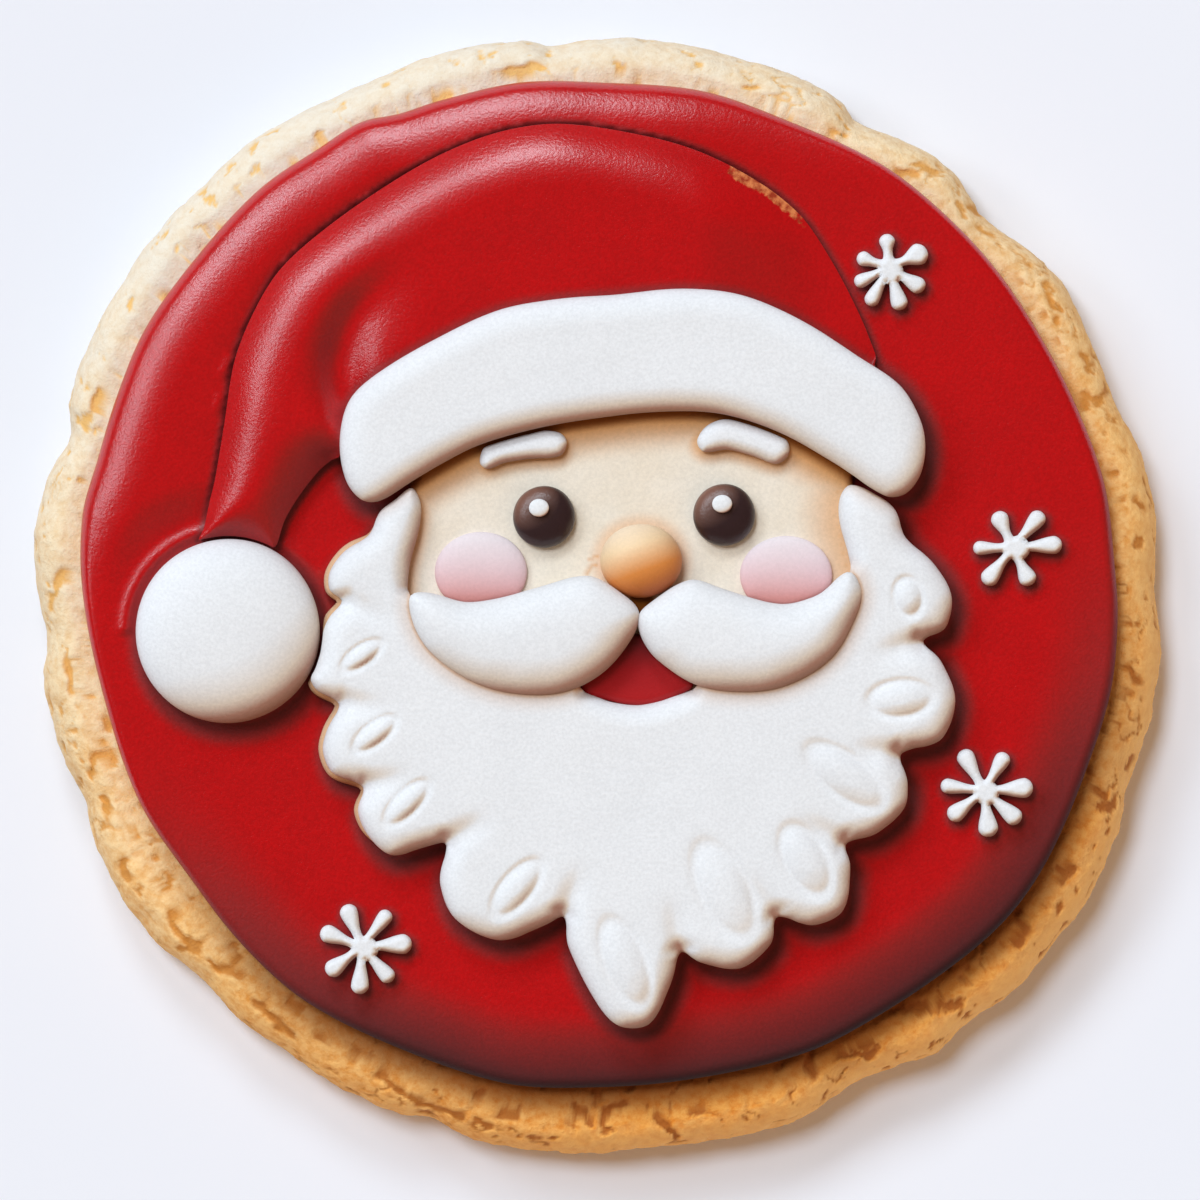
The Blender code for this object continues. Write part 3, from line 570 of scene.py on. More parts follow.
def dome(node, finish, flatness=2.0, sides=96, steps=40):
    """A round or oval drop over its solid's box, a little uneven. Above 2 the flatness makes it boxier."""
    low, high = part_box(node)
    middle = [(low[axis] + high[axis]) / 2 for axis in (0, 1)]
    radius = [(high[axis] - low[axis]) / 2 for axis in (0, 1)]
    thickness = high[2] - low[2]
    wall = BEAD_WALL * thickness
    foot_height = low[2] - GAP - SINK
    profile = []
    for step in range(steps + 1):
        angle = math.pi / 2 * step / steps
        across = math.sin(angle) ** (2 / flatness)
        profile.append((across, low[2] + wall + (thickness - wall) * math.cos(angle) ** (2 / flatness)))
    for share in BEAD_WALL_SHARES:
        inset = BEAD_TUCK * wall * (1 - math.cos(share * math.pi / 2)) / radius[0]
        profile.append((1 - inset, low[2] + wall - share * (low[2] + wall - foot_height)))
    points = [(middle[0], middle[1], profile[0][1])]
    for across, height in profile[1:]:
        for side in range(sides):
            turn = 2 * math.pi * side / sides
            lump_at = Vector((math.cos(turn), math.sin(turn), height * DROP_LUMPS_PER_METRE))
            reach = across * (1 + DROP_UNEVEN * noise.noise(lump_at))
            points.append((
                middle[0] + radius[0] * reach * math.cos(turn),
                middle[1] + radius[1] * reach * math.sin(turn),
                height,
            ))
    faces = [(0, 1 + side, 1 + (side + 1) % sides) for side in range(sides)]
    for ring in range(len(profile) - 2):
        first = 1 + ring * sides
        for side in range(sides):
            ahead = (side + 1) % sides
            faces.append((first + side, first + sides + side, first + sides + ahead, first + ahead))
    faces.append(tuple(range(len(points) - 1, len(points) - 1 - sides, -1)))
    return finished(f"{node}_piece", points, faces, finish, [node])


def biscuit_rings():
    """The biscuit's profile from under its middle round to its top: inset from the outline, and height."""
    rings = [(inset, 0) for inset in BASE_RINGS]
    for degrees in range(0, 90, 9):
        angle = math.radians(degrees)
        inset = BISCUIT_BASE_INSET * (1 - math.sin(angle))
        rings.append((inset, BISCUIT_BULGE_HEIGHT * (1 - math.cos(angle))))
    for degrees in range(0, 91, 4):
        angle = math.radians(degrees)
        inset = BISCUIT_SHOULDER * (1 - math.cos(angle))
        above = (BISCUIT_THICKNESS - BISCUIT_BULGE_HEIGHT) * math.sin(angle)
        rings.append((inset, BISCUIT_BULGE_HEIGHT + above))
    return rings + [(inset, BISCUIT_THICKNESS) for inset in (*np.arange(*FINE_RINGS), *TOP_RINGS)]


def crack_depth(points):
    """How deep the dough's ragged cracks and crumbly pits are at each point, as a share of CRACK_DEPTH."""
    wander = [noise_at(points, CRACK_WANDER_SIZE, 3, seed) for seed in (1, 2)]
    flat = points[:, :2] + CRACK_WANDER * np.column_stack(wander)
    width = CRACK_WIDTH * np.clip(1 + 1.1 * noise_at(points, CRACK_WIDTH_SIZE, 3, 3), 0.25, 2.2)
    deepest = np.zeros(len(points))
    for crack in DOUGH_CRACKS:
        line = smooth(place(crack), 4, closed=False)
        near = np.abs(flat - line.mean(0)).max(1) < np.ptp(line, axis=0).max() / 2 + 0.002
        away = distance_to(flat[near], line, closed=False) / width[near]
        deepest[near] = np.maximum(deepest[near], np.exp(-(away**2)))
    pits = PIT_SHARE * fade(noise_at(points, PIT_SIZE, 4, 8), 0.32, 0.62)
    fine = 1 - fade(np.abs(noise_at(points, FINE_CRACK_SIZE, 3, 9)), 0.01, 0.07)
    fine *= FINE_CRACK_SHARE * fade(noise_at(points, FINE_CRACK_PATCH, 2, 10), 0.05, 0.35)
    return np.maximum(deepest, np.maximum(pits, fine))


def dough_lumps(points):
    """The dough's height over its smooth form: lumps, crumb and grain, coarser towards the browner, shaded
    lower right.
    """
    rougher = 1 + BROWNED_ROUGHER * points[:, :2] @ BROWNED_AND_SHADED_SIDE / BISCUIT_RADIUS
    return (
        DOUGH_LUMPS * noise_at(points, DOUGH_LUMP_SIZE, 2, 5)
        + DOUGH_CRUMB * rougher * noise_at(points, DOUGH_CRUMB_SIZE, 3, 6)
        - DOUGH_GRAIN * rougher * np.abs(noise_at(points, DOUGH_GRAIN_SIZE, 2, 7))
    )


def make_biscuit(finish):
    """Rings of the wavy outline round the whole biscuit, cracked and crumbly where the dough shows."""
    base = foot("biscuit")
    edge = even(base * (1 + BISCUIT_BASE_INSET / np.linalg.norm(base, axis=1))[:, None], BISCUIT_SPACING)
    edge *= (1 + EDGE_WAVE / BISCUIT_RADIUS * noise_at(edge, EDGE_WAVE_SIZE, 3, 4))[:, None]
    radius = np.linalg.norm(edge, axis=1)[:, None]
    count = len(edge)
    rings = biscuit_rings()
    points = np.vstack([
        np.column_stack([edge * (1 - inset / radius), np.full(count, height)]) for inset, height in rings
    ])
    inset = np.repeat([inset for inset, _ in rings], count)
    faces = [tuple(range(count))[::-1], tuple(range(len(points) - count, len(points)))]
    for ring in range(len(rings) - 1):
        first = ring * count
        for i in range(count):
            ahead = (i + 1) % count
            faces.append((first + i, first + ahead, first + count + ahead, first + count + i))
    outwards = points * (1, 1, 0)
    outwards /= np.linalg.norm(outwards, axis=1)[:, None]
    upper = fade(points[:, 2], BISCUIT_BULGE_HEIGHT, BISCUIT_THICKNESS)
    direction = outwards * (1 - upper)[:, None] + np.array([0, 0, 1]) * upper[:, None]
    shows = (points[:, 2] > BASE_SMOOTH_TO) & (inset < DOUGH_SHOWS)
    seen = points[shows]
    cracks = np.zeros(len(points))
    cracks[shows] = crack_depth(seen) * fade(seen[:, 2], 0.001, 0.004)
    lumps = np.zeros(len(points))
    lumps[shows] = dough_lumps(seen)
    lumps -= TOP_SINKS * (points[:, 2] >= BISCUIT_THICKNESS)
    points = points + direction * (lumps - CRACK_DEPTH * cracks)[:, None]
    points[:, 2] = np.clip(points[:, 2], 0, None)
    to_sheet = distance_to(seen[:, :2], foot("red_sheet"))
    shade = np.zeros(len(points))
    shade[shows] = (1 - fade(to_sheet, *SHADE_FADES)) * low_side(seen)
    marks = {"crack": cracks, "shade": shade}
    return finished("biscuit_piece", points, faces, finish, ["biscuit"], marks)


def low_side(points):
    """1 on the side of the biscuit away from the light, 0 on the side towards it."""
    return fade(points[:, :2] @ LOW_SIDE / np.linalg.norm(points[:, :2], axis=1), 0.0, 0.85)


def roll_profile(to_hat, to_edge):
    """The roll's rise over the sheet: it climbs a little from the hat, then slopes down to the edge."""
    across = np.clip(to_hat / np.maximum(to_hat + to_edge - ROLL_EDGE_WIDTH, 1e-6), 0, 1)
    inner = ROLL_AT_HAT + (1 - ROLL_AT_HAT) * np.sin(math.pi / 2 * across)
    slope = sloped(to_edge, ROLL_EDGE_WIDTH)
    return ROLL_RISE * inner * slope - ROLL_EDGE_DROP * (1 - slope)


def sheet_relief(hat, pompom):
    """The raised roll along the sheet's upper left, its sunk low side, and its gentle unevenness."""
    sheet = foot("red_sheet")

    def relief(points, rise):
        to_hat = distance_to(points, hat)
        to_edge = distance_to(points, sheet)
        to_pompom = distance_to(points, pompom)
        angle = np.degrees(np.arctan2(points[:, 1], points[:, 0])) % 360
        along = fade(angle, *ROLL_STARTS) * (1 - fade(angle, *ROLL_ENDS))
        clear = fade(to_pompom, ROLL_CLEAR_OF_POMPOM, 4 * ROLL_CLEAR_OF_POMPOM)
        near_edge = 1 - fade(to_edge, ROLL_WIDTH, 1.2 * ROLL_WIDTH)
        outside = ~inside(points, hat) & ~inside(points, pompom)
        roll = roll_profile(to_hat, to_edge) * along * near_edge * clear * outside
        to_nicks = np.min([distance_to(points, place(nick), closed=False) for nick in ROLL_NICKS], axis=0)
        nicks = NICK_HEIGHT * np.exp(-((to_nicks / NICK_WIDTH) ** 2)) * outside
        lip = POMPOM_LIP * np.exp(-(((to_pompom - POMPOM_LIP_BESIDE) / POMPOM_LIP_WIDTH) ** 2))
        sunk = LOW_SIDE_DROP * (1 - fade(to_edge, 0, LOW_SIDE_WIDTH)) * low_side(points)
        sunk = sunk * rise / SHEET_THICKNESS
        uneven = unevenness(points, *SHEET_UNEVEN)
        return rise + uneven + roll + nicks + lip * (points[:, 1] > pompom[:, 1].mean()) - sunk

    return relief


def bare_strip(points):
    """The strip where the dough shows, fading towards its lower end."""
    strip = even(place(BARE_STRIP), 0.0005, closed=False)
    share = ((points[:, None, :2] - strip[None]) ** 2).sum(2).argmin(1) / (len(strip) - 1)
    away = distance_to(points[:, :2], strip, closed=False) / BARE_WIDTH
    shown = np.exp(-(away**4)) * fade(share, 0, 0.15) * (1 - 0.8 * fade(share, 0.6, 1))
    return BARE_STRENGTH * shown


def hat_relief():
    """The fold above the tail, and the hat's thinner right end."""
    fold = even(place(HAT_FOLD), 0.0002, closed=False)
    thins = place(HAT_THINS)[:, 0]
    ahead = np.gradient(fold, axis=0)
    share = np.linspace(0, 1, len(fold))

    def relief(points, rise):
        offset = points[:, None] - fold[None]
        closest = (offset**2).sum(2).argmin(1)
        offset = points - fold[closest]
        step = ahead[closest] / np.linalg.norm(ahead[closest], axis=1)[:, None]
        beside = offset[:, 0] * step[:, 1] - offset[:, 1] * step[:, 0]
        past = (offset * step).sum(1)
        width = np.where(beside > 0, FOLD_WIDTH_RIGHT, FOLD_WIDTH_LEFT)
        depth = FOLD_DEPTH * (1 - fade(share[closest], 0.25, 1)) * np.exp(-((past / FOLD_PAST_END) ** 2))
        fold_depth = depth * np.exp(-((beside / width) ** 2))
        thinner = 1 - (1 - HAT_RIGHT_SHARE) * fade(points[:, 0], *thins)
        return rise * thinner + unevenness(points, *HAT_UNEVEN) - fold_depth

    return relief


def near_to(outlines, reach, strength=1.0, line=0.0, offset=(0, 0)):
    """A mark that fades to nothing within reach of the outlines, with a fine line of its own along them.

    The offset moves the mark to one side, as a shadow is moved."""

    def mark(points):
        away = np.min([distance_to(points[:, :2] - offset, outline) for outline in outlines], axis=0)
        return np.maximum(strength * (1 - fade(away, 0, reach)), line * (1 - fade(away, *LINE_FADES)))

    return mark


def sheet_painted_shade(pieces, hat, snowflakes):
    """How much painted shade deepens the sheet's red along its low side, and how much painted shadow
    deepens it close round the pieces that lie on it.
    """
    edge = near_to([foot("red_sheet")], **LOW_EDGE_MARK)
    others = [
        near_to(pieces, **UNDER_PIECE_MARK),
        near_to([hat], **BESIDE_HAT_MARK),
        near_to(snowflakes, **UNDER_SNOWFLAKE_MARK),
    ]

    def mark(points):
        return np.max([edge(points) * low_side(points), *[other(points) for other in others]], axis=0)

    return mark


def face_painted_shade_and_cracks(brim, beard, brows, nose):
    """How much painted shade and shadow the face has: most below the brim and at the right, and a little
    round each piece, with fine crack lines too.
    """
    middle = place([FACE_MIDDLE])[0, 0]
    (corner,) = place([NOSE_CORNER])

    def mark(points):
        flat = points[:, :2]
        to_brim = distance_to(flat, brim)
        to_beard = distance_to(flat, beard)
        to_brows = np.min([distance_to(flat, brow) for brow in brows], axis=0)
        below_brim = 0.9 * (1 - fade(to_brim, 0.0002, 0.0042)) + 0.1 * (1 - fade(to_brim, 0, 0.0012))
        right = fade(points[:, 0], middle, middle + FACE_RIGHT_WIDTH)
        beside_beard = 0.62 * (1 - fade(to_beard / (1 + 2.2 * right), 0, 0.0014))
        round_brows = 0.7 * (1 - fade(to_brows, 0, 0.0015))
        round_nose = 0.4 * (1 - fade(distance_to(flat, nose), 0, 0.0014))
        below_nose = 1 - fade(np.linalg.norm(flat - corner, axis=1), 0.0010, 0.0022)
        to_cracks = np.min([distance_to(flat, place(crack), closed=False) for crack in FACE_CRACKS], axis=0)
        cracks = 0.7 * np.exp(-((to_cracks / FACE_CRACK_WIDTH) ** 2))
        return np.max([below_brim, beside_beard, round_brows, round_nose, below_nose, cracks], axis=0)

    return mark


def uneven_relief(height, size, seed):
    """A relief of gentle lumps alone."""

    def relief(points, rise):
        return rise + unevenness(points, height, size, seed)

    return relief


def beard_relief(points, rise):
    """Raised ovals with a fine groove round each, and a valley inwards from where two lobes meet."""
    relief = rise + unevenness(points, *BEARD_UNEVEN)
    for centre_x, centre_y, half_length, half_width, tilt in PETALS:
        turn = math.radians(tilt)
        along = np.array([math.cos(turn), math.sin(turn)]) / (half_length * PIXEL)
        across = np.array([-math.sin(turn), math.cos(turn)]) / (half_width * PIXEL)
        offset = points - place([(centre_x, centre_y)])
        reach = np.hypot(offset @ along, offset @ across)
        relief += PETAL_RISE * (1 - fade(reach, 0.2, 0.95))
        relief -= PETAL_GROOVE * np.exp(-(((reach - 1) / PETAL_GROOVE_WIDTH) ** 2))
    (middle,) = place([BEARD_MIDDLE])
    for cusp in place(LOBE_CUSPS):
        towards = (middle - cusp) / np.linalg.norm(middle - cusp)
        offset = points - cusp
        along = offset @ towards
        across = offset @ np.array([-towards[1], towards[0]])
        taper = fade(along, -VALLEY_START, VALLEY_START) * (1 - fade(along, 0, VALLEY_LENGTH))
        relief -= VALLEY_DEPTH * taper * np.exp(-((across / VALLEY_WIDTH) ** 2))
    return relief


def rgb(red, green, blue):
    """A colour given as it shows on a screen, 0 to 255, as the linear one that a shader takes."""
    shares = [channel / 255 for channel in (red, green, blue)]
    linear = [s / 12.92 if s <= 0.04045 else ((s + 0.055) / 1.055) ** 2.4 for s in shares]
    return (*linear, 1)


def grey(level):
    """A grey for a shader, from 0, black, to 1, white."""
    return (level, level, level, 1)


def add(tree, kind, inputs=None, **settings):
    """A new node with its settings, and with each named input set or linked."""
    made = tree.nodes.new(kind)
    for name, value in settings.items():
        setattr(made, name, value)
    for name, value in (inputs or {}).items():
        if isinstance(value, bpy.types.NodeSocket):
            tree.links.new(value, made.inputs[name])
        else:
            made.inputs[name].default_value = value
    return made


def mix(tree, share, first, second, blend="MIX"):
    """The first colour mixed towards the second by a share, or blended with it."""
    made = tree.nodes.new("ShaderNodeMix")
    made.data_type = "RGBA"
    made.blend_type = blend
    for number, value in ((0, share), (6, first), (7, second)):
        if isinstance(value, bpy.types.NodeSocket):
            tree.links.new(value, made.inputs[number])
        else:
            made.inputs[number].default_value = value
    return made.outputs[2]


def ramp(tree, value, stops):
    """A colour ramp: stops are (place, colour)."""
    made = add(tree, "ShaderNodeValToRGB", {"Fac": value})
    elements = made.color_ramp.elements
    while len(elements) < len(stops):
        elements.new(0.5)
    for element, (position, colour) in zip(elements, stops):
        element.position = position
        element.color = colour
    return made.outputs["Color"]


def noise_node(tree, size, detail=2, rough=0.5):
    """Noise over the object's own metres, with lumps of the given size."""
    where = add(tree, "ShaderNodeTexCoord").outputs["Object"]
    inputs = {"Vector": where, "Scale": 1 / size, "Detail": detail, "Roughness": rough}
    return add(tree, "ShaderNodeTexNoise", inputs).outputs["Fac"]


def mark_node(tree, name):
    """The values of one of a mesh's marks, or 0 where it has none of that name."""
    return add(tree, "ShaderNodeAttribute", attribute_name=name).outputs["Fac"]


def bumps(tree, layers):
    """Bump nodes one after another: layers are (height, depth in metres)."""
    normal = None
    for height, depth in layers:
        inputs = {"Height": height, "Distance": depth, "Strength": 1}
        if normal:
            inputs["Normal"] = normal
        normal = add(tree, "ShaderNodeBump", inputs).outputs["Normal"]
    return normal


def new_material(name, roughness, specular):
    """A material, its node tree and its shader."""
    made = bpy.data.materials.new(name)
    made.use_nodes = True
    shader = made.node_tree.nodes["Principled BSDF"]
    shader.inputs["Roughness"].default_value = roughness
    shader.inputs["Specular IOR Level"].default_value = specular
    return made, made.node_tree, shader


def facing(tree, direction):
    """How far the surface faces a direction, from -1 to 1."""
    normal = add(tree, "ShaderNodeTexCoord").outputs["Normal"]
    made = add(tree, "ShaderNodeVectorMath", {0: normal, 1: direction}, operation="DOT_PRODUCT")
    return made.outputs["Value"]


def along(tree, node, direction):
    """0 to 1 across a solid, from one end to the other in a direction."""
    low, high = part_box(node)
    middle = [(a + b) / 2 for a, b in zip(low, high)]
    reach = sum(abs(d) * (b - a) / 2 for d, a, b in zip(direction, low, high))
    where = add(tree, "ShaderNodeTexCoord").outputs["Object"]
    offset = add(tree, "ShaderNodeVectorMath", {0: where, 1: middle}, operation="SUBTRACT")
    across = {0: offset.outputs["Vector"], 1: direction}
    made = add(tree, "ShaderNodeVectorMath", across, operation="DOT_PRODUCT")
    limits = {"Value": made.outputs["Value"], "From Min": -reach, "From Max": reach}
    return add(tree, "ShaderNodeMapRange", limits).outputs["Result"]


def grained(tree, shader, colour, amount=0.06):
    """Links a colour to the shader under a fine sugary grain."""
    grain = noise_node(tree, 0.00028, 2, 0.6)
    speckle = ramp(tree, grain, [(0.32, grey(1 - amount)), (0.68, grey(1))])
    colour = mix(tree, 1, colour, speckle, "MULTIPLY")
    tree.links.new(colour, shader.inputs["Base Color"])
    normal = bumps(tree, [(grain, 0.00003), (noise_node(tree, 0.0011, 2), 0.00001)])
    tree.links.new(normal, shader.inputs["Normal"])


def icing_material(name, colour, shade, golden, painted_shade_and_cracks, tints, roughness, specular, grain=0.1):
    """Icing mottled towards a shade, and tinted where it faces away from the light.

    Where it is marked with painted shade and shadow, and on the face with cracks too, it is golden, and
    darkest as the mark nears 1."""
    made, tree, shader = new_material(name, roughness, specular)
    cloudy = ramp(tree, noise_node(tree, 0.006, 3), [(0.35, grey(0)), (0.7, grey(1))])
    colour = mix(tree, cloudy, colour, shade)
    # The mark holds painted shade and painted shadow, and on the face a few cracks.
    marked = mark_node(tree, "painted_shade_and_cracks")
    colour = mix(tree, marked, colour, ramp(tree, marked, [(0.8, golden), (1, painted_shade_and_cracks)]))
    tint = ramp(tree, facing(tree, LOW_FACING), tints)
    colour = mix(tree, 1, colour, tint, "MULTIPLY")
    grained(tree, shader, colour, grain)
    return made, tree, shader


def red_material():
    """Red icing, deeper with painted shade and duller where it is marked, with dough showing through in the
    bare strip.
    """
    tints = [(0.02, grey(1)), (0.35, (0.66, 0.54, 0.56, 1)), (0.8, (0.38, 0.34, 0.36, 1))]
    made, tree, shader = icing_material(
        "red_icing_piece", rgb(197, 4, 11), rgb(190, 5, 12), golden=rgb(88, 15, 16),
        painted_shade_and_cracks=rgb(54, 13, 15), tints=tints, roughness=0.28, specular=0.8, grain=0.18,
    )
    colour = shader.inputs["Base Color"].links[0].from_socket
    ragged = noise_node(tree, 0.0009, 3, 0.7)
    bare = add(tree, "ShaderNodeMath", {0: mark_node(tree, "bare"), 1: ragged}, operation="ADD").outputs[0]
    dough = ramp(tree, noise_node(tree, 0.0007, 3), [(0.38, rgb(158, 62, 34)), (0.6, rgb(228, 140, 84))])
    bare = ramp(tree, bare, [(0.82, grey(0)), (1.1, grey(0.85))])
    tree.links.new(mix(tree, bare, colour, dough), shader.inputs["Base Color"])
    low = {0: facing(tree, LOW_FACING), 1: 1.2, 2: mark_node(tree, "painted_shade_and_cracks")}
    low = add(tree, "ShaderNodeMath", low, operation="MULTIPLY_ADD", use_clamp=True).outputs[0]
    dull = add(tree, "ShaderNodeMath", {0: low, 1: 0.5, 2: 0.28}, operation="MULTIPLY_ADD").outputs[0]
    tree.links.new(dull, shader.inputs["Roughness"])
    return made


def pale_icing_material(name, colour, shade, golden, painted_shade_and_cracks, roughness, specular):
    """White or tan icing, which turns warmer and darker as it faces away from the light."""
    tints = [
        (0.1, grey(1)), (0.4, (0.92, 0.785, 0.65, 1)), (0.65, (0.60, 0.33, 0.245, 1)),
        (0.9, (0.45, 0.25, 0.18, 1)),
    ]
    return icing_material(name, colour, shade, golden, painted_shade_and_cracks, tints, roughness, specular)[0]


def white_material():
    """White icing, tan with painted shadow where it is marked."""
    return pale_icing_material(
        "white_icing_piece", rgb(238, 239, 242), rgb(235, 236, 239), golden=rgb(208, 168, 134),
        painted_shade_and_cracks=rgb(150, 104, 72), roughness=0.6, specular=0.3,
    )


def tan_material():
    """Tan icing, golden and then brown where painted shade and cracks mark it."""
    return pale_icing_material(
        "tan_icing_piece", rgb(240, 229, 213), rgb(236, 222, 202), golden=rgb(214, 142, 52),
        painted_shade_and_cracks=rgb(140, 76, 24), roughness=0.7, specular=0.2,
    )


def mouth_material():
    """Red icing that is dark with a painted shadow below the moustache and deep red further out."""
    made, tree, shader = new_material("mouth_piece", 0.4, 0.4)
    colour = ramp(tree, along(tree, "mouth", (0, -1, 0)), [
        (0.1, rgb(112, 28, 32)), (0.5, rgb(162, 24, 30)), (1.0, rgb(176, 26, 30)),
    ])
    grained(tree, shader, colour)
    return made


def cheek_material():
    """Pink icing, whitish at the top and rosy at the bottom."""
    made, tree, shader = new_material("pink_icing_piece", 0.65, 0.3)
    colour = ramp(tree, along(tree, "cheek_left", (0, -1, 0)), [
        (0.1, rgb(234, 222, 226)), (0.35, rgb(232, 211, 215)), (0.55, rgb(229, 197, 200)),
        (0.75, rgb(225, 177, 177)), (0.95, rgb(218, 150, 144)),
    ])
    grained(tree, shader, colour)
    return made


def nose_material():
    """Golden icing, pale tan at the top and orange-brown at the bottom with painted shade."""
    made, tree, shader = new_material("orange_icing_piece", 0.5, 0.4)
    colour = ramp(tree, along(tree, "nose", (0.35, -0.937, 0)), [
        (0.05, rgb(250, 232, 208)), (0.33, rgb(244, 211, 168)), (0.6, rgb(226, 142, 70)),
        (0.95, rgb(158, 56, 10)),
    ])
    grained(tree, shader, colour)
    return made


def eye_material():
    """Dark brown icing that is paler on the side that faces the light."""
    made, tree, shader = new_material("brown_icing_piece", 0.34, 0.6)
    lit = facing(tree, (-0.5, 0.56, 0.66))
    colour = ramp(tree, lit, [(0.6, rgb(54, 34, 34)), (0.96, rgb(126, 88, 75))])
    grained(tree, shader, colour)
    return made


def dough_material():
    """Baked dough: cream at the upper left and golden brown to the lower right, partly real browning and
    partly painted shade, with painted light on its lower right side, painted shadow beside the sheet, and
    deeper colour in its cracks.
    """
    made, tree, shader = new_material("baked_dough_piece", 0.85, 0.2)
    # Partly real browning and partly painted shade: the colour grows darker and more golden towards the
    # lower right, away from the light.
    where = add(tree, "ShaderNodeTexCoord").outputs["Object"]
    towards = add(tree, "ShaderNodeVectorMath", {0: where, 1: (*BROWNED_AND_SHADED_SIDE, 0)}, operation="DOT_PRODUCT")
    limits = {"Value": towards.outputs["Value"], "From Min": -0.048, "From Max": 0.048}
    baked_and_shaded = add(tree, "ShaderNodeMapRange", {**limits, "To Min": -0.1, "To Max": 0.8}).outputs["Result"]
    patchy = {0: noise_node(tree, 0.005, 4, 0.6), 1: 0.32, 2: baked_and_shaded}
    baked_and_shaded = add(tree, "ShaderNodeMath", patchy, operation="MULTIPLY_ADD").outputs[0]
    colour = ramp(tree, baked_and_shaded, [
        (0.05, rgb(236, 224, 205)), (0.35, rgb(246, 220, 178)), (0.62, rgb(255, 205, 134)),
        (0.95, rgb(254, 180, 90)),
    ])
    crumbs = noise_node(tree, 0.0009, 4, 0.65)
    crumb = ramp(tree, crumbs, [(0.32, rgb(234, 202, 156)), (0.6, grey(1))])
    crumbly = ramp(tree, baked_and_shaded, [(0.05, grey(0.25)), (0.7, grey(1))])
    colour = mix(tree, crumbly, colour, crumb, "MULTIPLY")
    # Painted light: where the side faces the lower right it is mixed towards a lighter gold.
    outer = ramp(tree, facing(tree, (0.8, -0.6, 0)), [(0.1, grey(0)), (0.9, grey(0.7))])
    colour = mix(tree, outer, colour, rgb(255, 208, 136))
    crack = ramp(tree, mark_node(tree, "crack"), [(0.1, grey(0)), (0.7, grey(0.9))])
    in_crack = ramp(tree, baked_and_shaded, [
        (0.1, rgb(238, 188, 108)), (0.5, rgb(218, 146, 64)), (0.9, rgb(172, 96, 38)),
    ])
    colour = mix(tree, crack, colour, in_crack)
    # Painted shadow of the sheet's low side on the dough.
    shade = ramp(tree, mark_node(tree, "shade"), [(0.1, grey(0)), (1, grey(0.9))])
    colour = mix(tree, shade, colour, rgb(132, 66, 26))
    tree.links.new(colour, shader.inputs["Base Color"])
    layers = [(crumbs, 0.00015), (noise_node(tree, 0.00025, 2, 0.6), 0.00006)]
    tree.links.new(bumps(tree, layers), shader.inputs["Normal"])
    return made


def make_lights():
    """Soft daylight from the upper left, with weaker warm light from the lower right."""
    for name, elevation, azimuth, strength, spread, colour, glints in LIGHTS:
        light = bpy.data.lights.new(name, "SUN")
        light.energy = strength
        light.angle = math.radians(spread)
        light.color = colour
        lamp = bpy.data.objects.new(name, light)
        up = math.radians(elevation)
        turn = math.radians(azimuth)
        towards = Vector((math.cos(up) * math.cos(turn), math.cos(up) * math.sin(turn), math.sin(up)))
        lamp.rotation_euler = towards.to_track_quat("Z", "Y").to_euler()
        lamp.visible_glossy = glints
        bpy.context.scene.collection.objects.link(lamp)


def make_sky():
    """An even warm light all round, which hardly reflects and looks pale to the camera."""
    world = bpy.data.worlds.new("studio")
    world.use_nodes = True
    tree = world.node_tree
    rays = add(tree, "ShaderNodeLightPath").outputs
    colour = mix(tree, rays["Is Glossy Ray"], SKY_LIGHT, SKY_REFLECTED)
    colour = mix(tree, rays["Is Camera Ray"], colour, rgb(240, 243, 248))
    tree.links.new(colour, tree.nodes["Background"].inputs["Color"])
    bpy.context.scene.world = world


def make_floor():
    """A plain pale floor."""
    mesh = bmesh.new()
    bmesh.ops.create_circle(mesh, cap_ends=True, segments=96, radius=FLOOR_RADIUS)
    data = bpy.data.meshes.new("floor")
    mesh.to_mesh(data)
    mesh.free()
    made, _, shader = new_material("floor_finish", 0.9, 0.1)
    shader.inputs["Base Color"].default_value = rgb(236, 238, 246)
    data.materials.append(made)
    floor = bpy.data.objects.new("floor", data)
    bpy.context.scene.collection.objects.link(floor)
    floor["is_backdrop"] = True


def make_camera():
    """A long lens straight above, framed as the picture is."""
    camera = bpy.data.objects.new("camera", bpy.data.cameras.new("camera"))
    bpy.context.scene.collection.objects.link(camera)
    (middle,) = place([(PICTURE_PX / 2, PICTURE_PX / 2)])
    base_of_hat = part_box("hat")[0][2]
    camera.location = (middle[0], middle[1], base_of_hat + CAMERA_DISTANCE)
    camera.data.sensor_width = SENSOR_WIDTH
    camera.data.lens = SENSOR_WIDTH * CAMERA_DISTANCE / (PICTURE_PX * PIXEL)
    camera.data.clip_end = CAMERA_SEES_TO
    bpy.context.scene.camera = camera


def make_sheet(finish, hat, brim, beard, pompom):
    """The sheet of red icing, with its roll, deeper with painted shade along its low side and painted
    shadow below what lies on it.
    """
    snowflakes = [foot(f"snowflake_{number}") for number in range(1, 5)]
    marks = {"painted_shade_and_cracks": sheet_painted_shade([beard, brim, pompom], hat, snowflakes)}
    icing(
        "red_sheet", SHEET_THICKNESS, SHEET_EDGE_WIDTH, SHEET_SPACING, finish,
        sheet_relief(hat, pompom), wall=SHEET_WALL, marks=marks,
    )


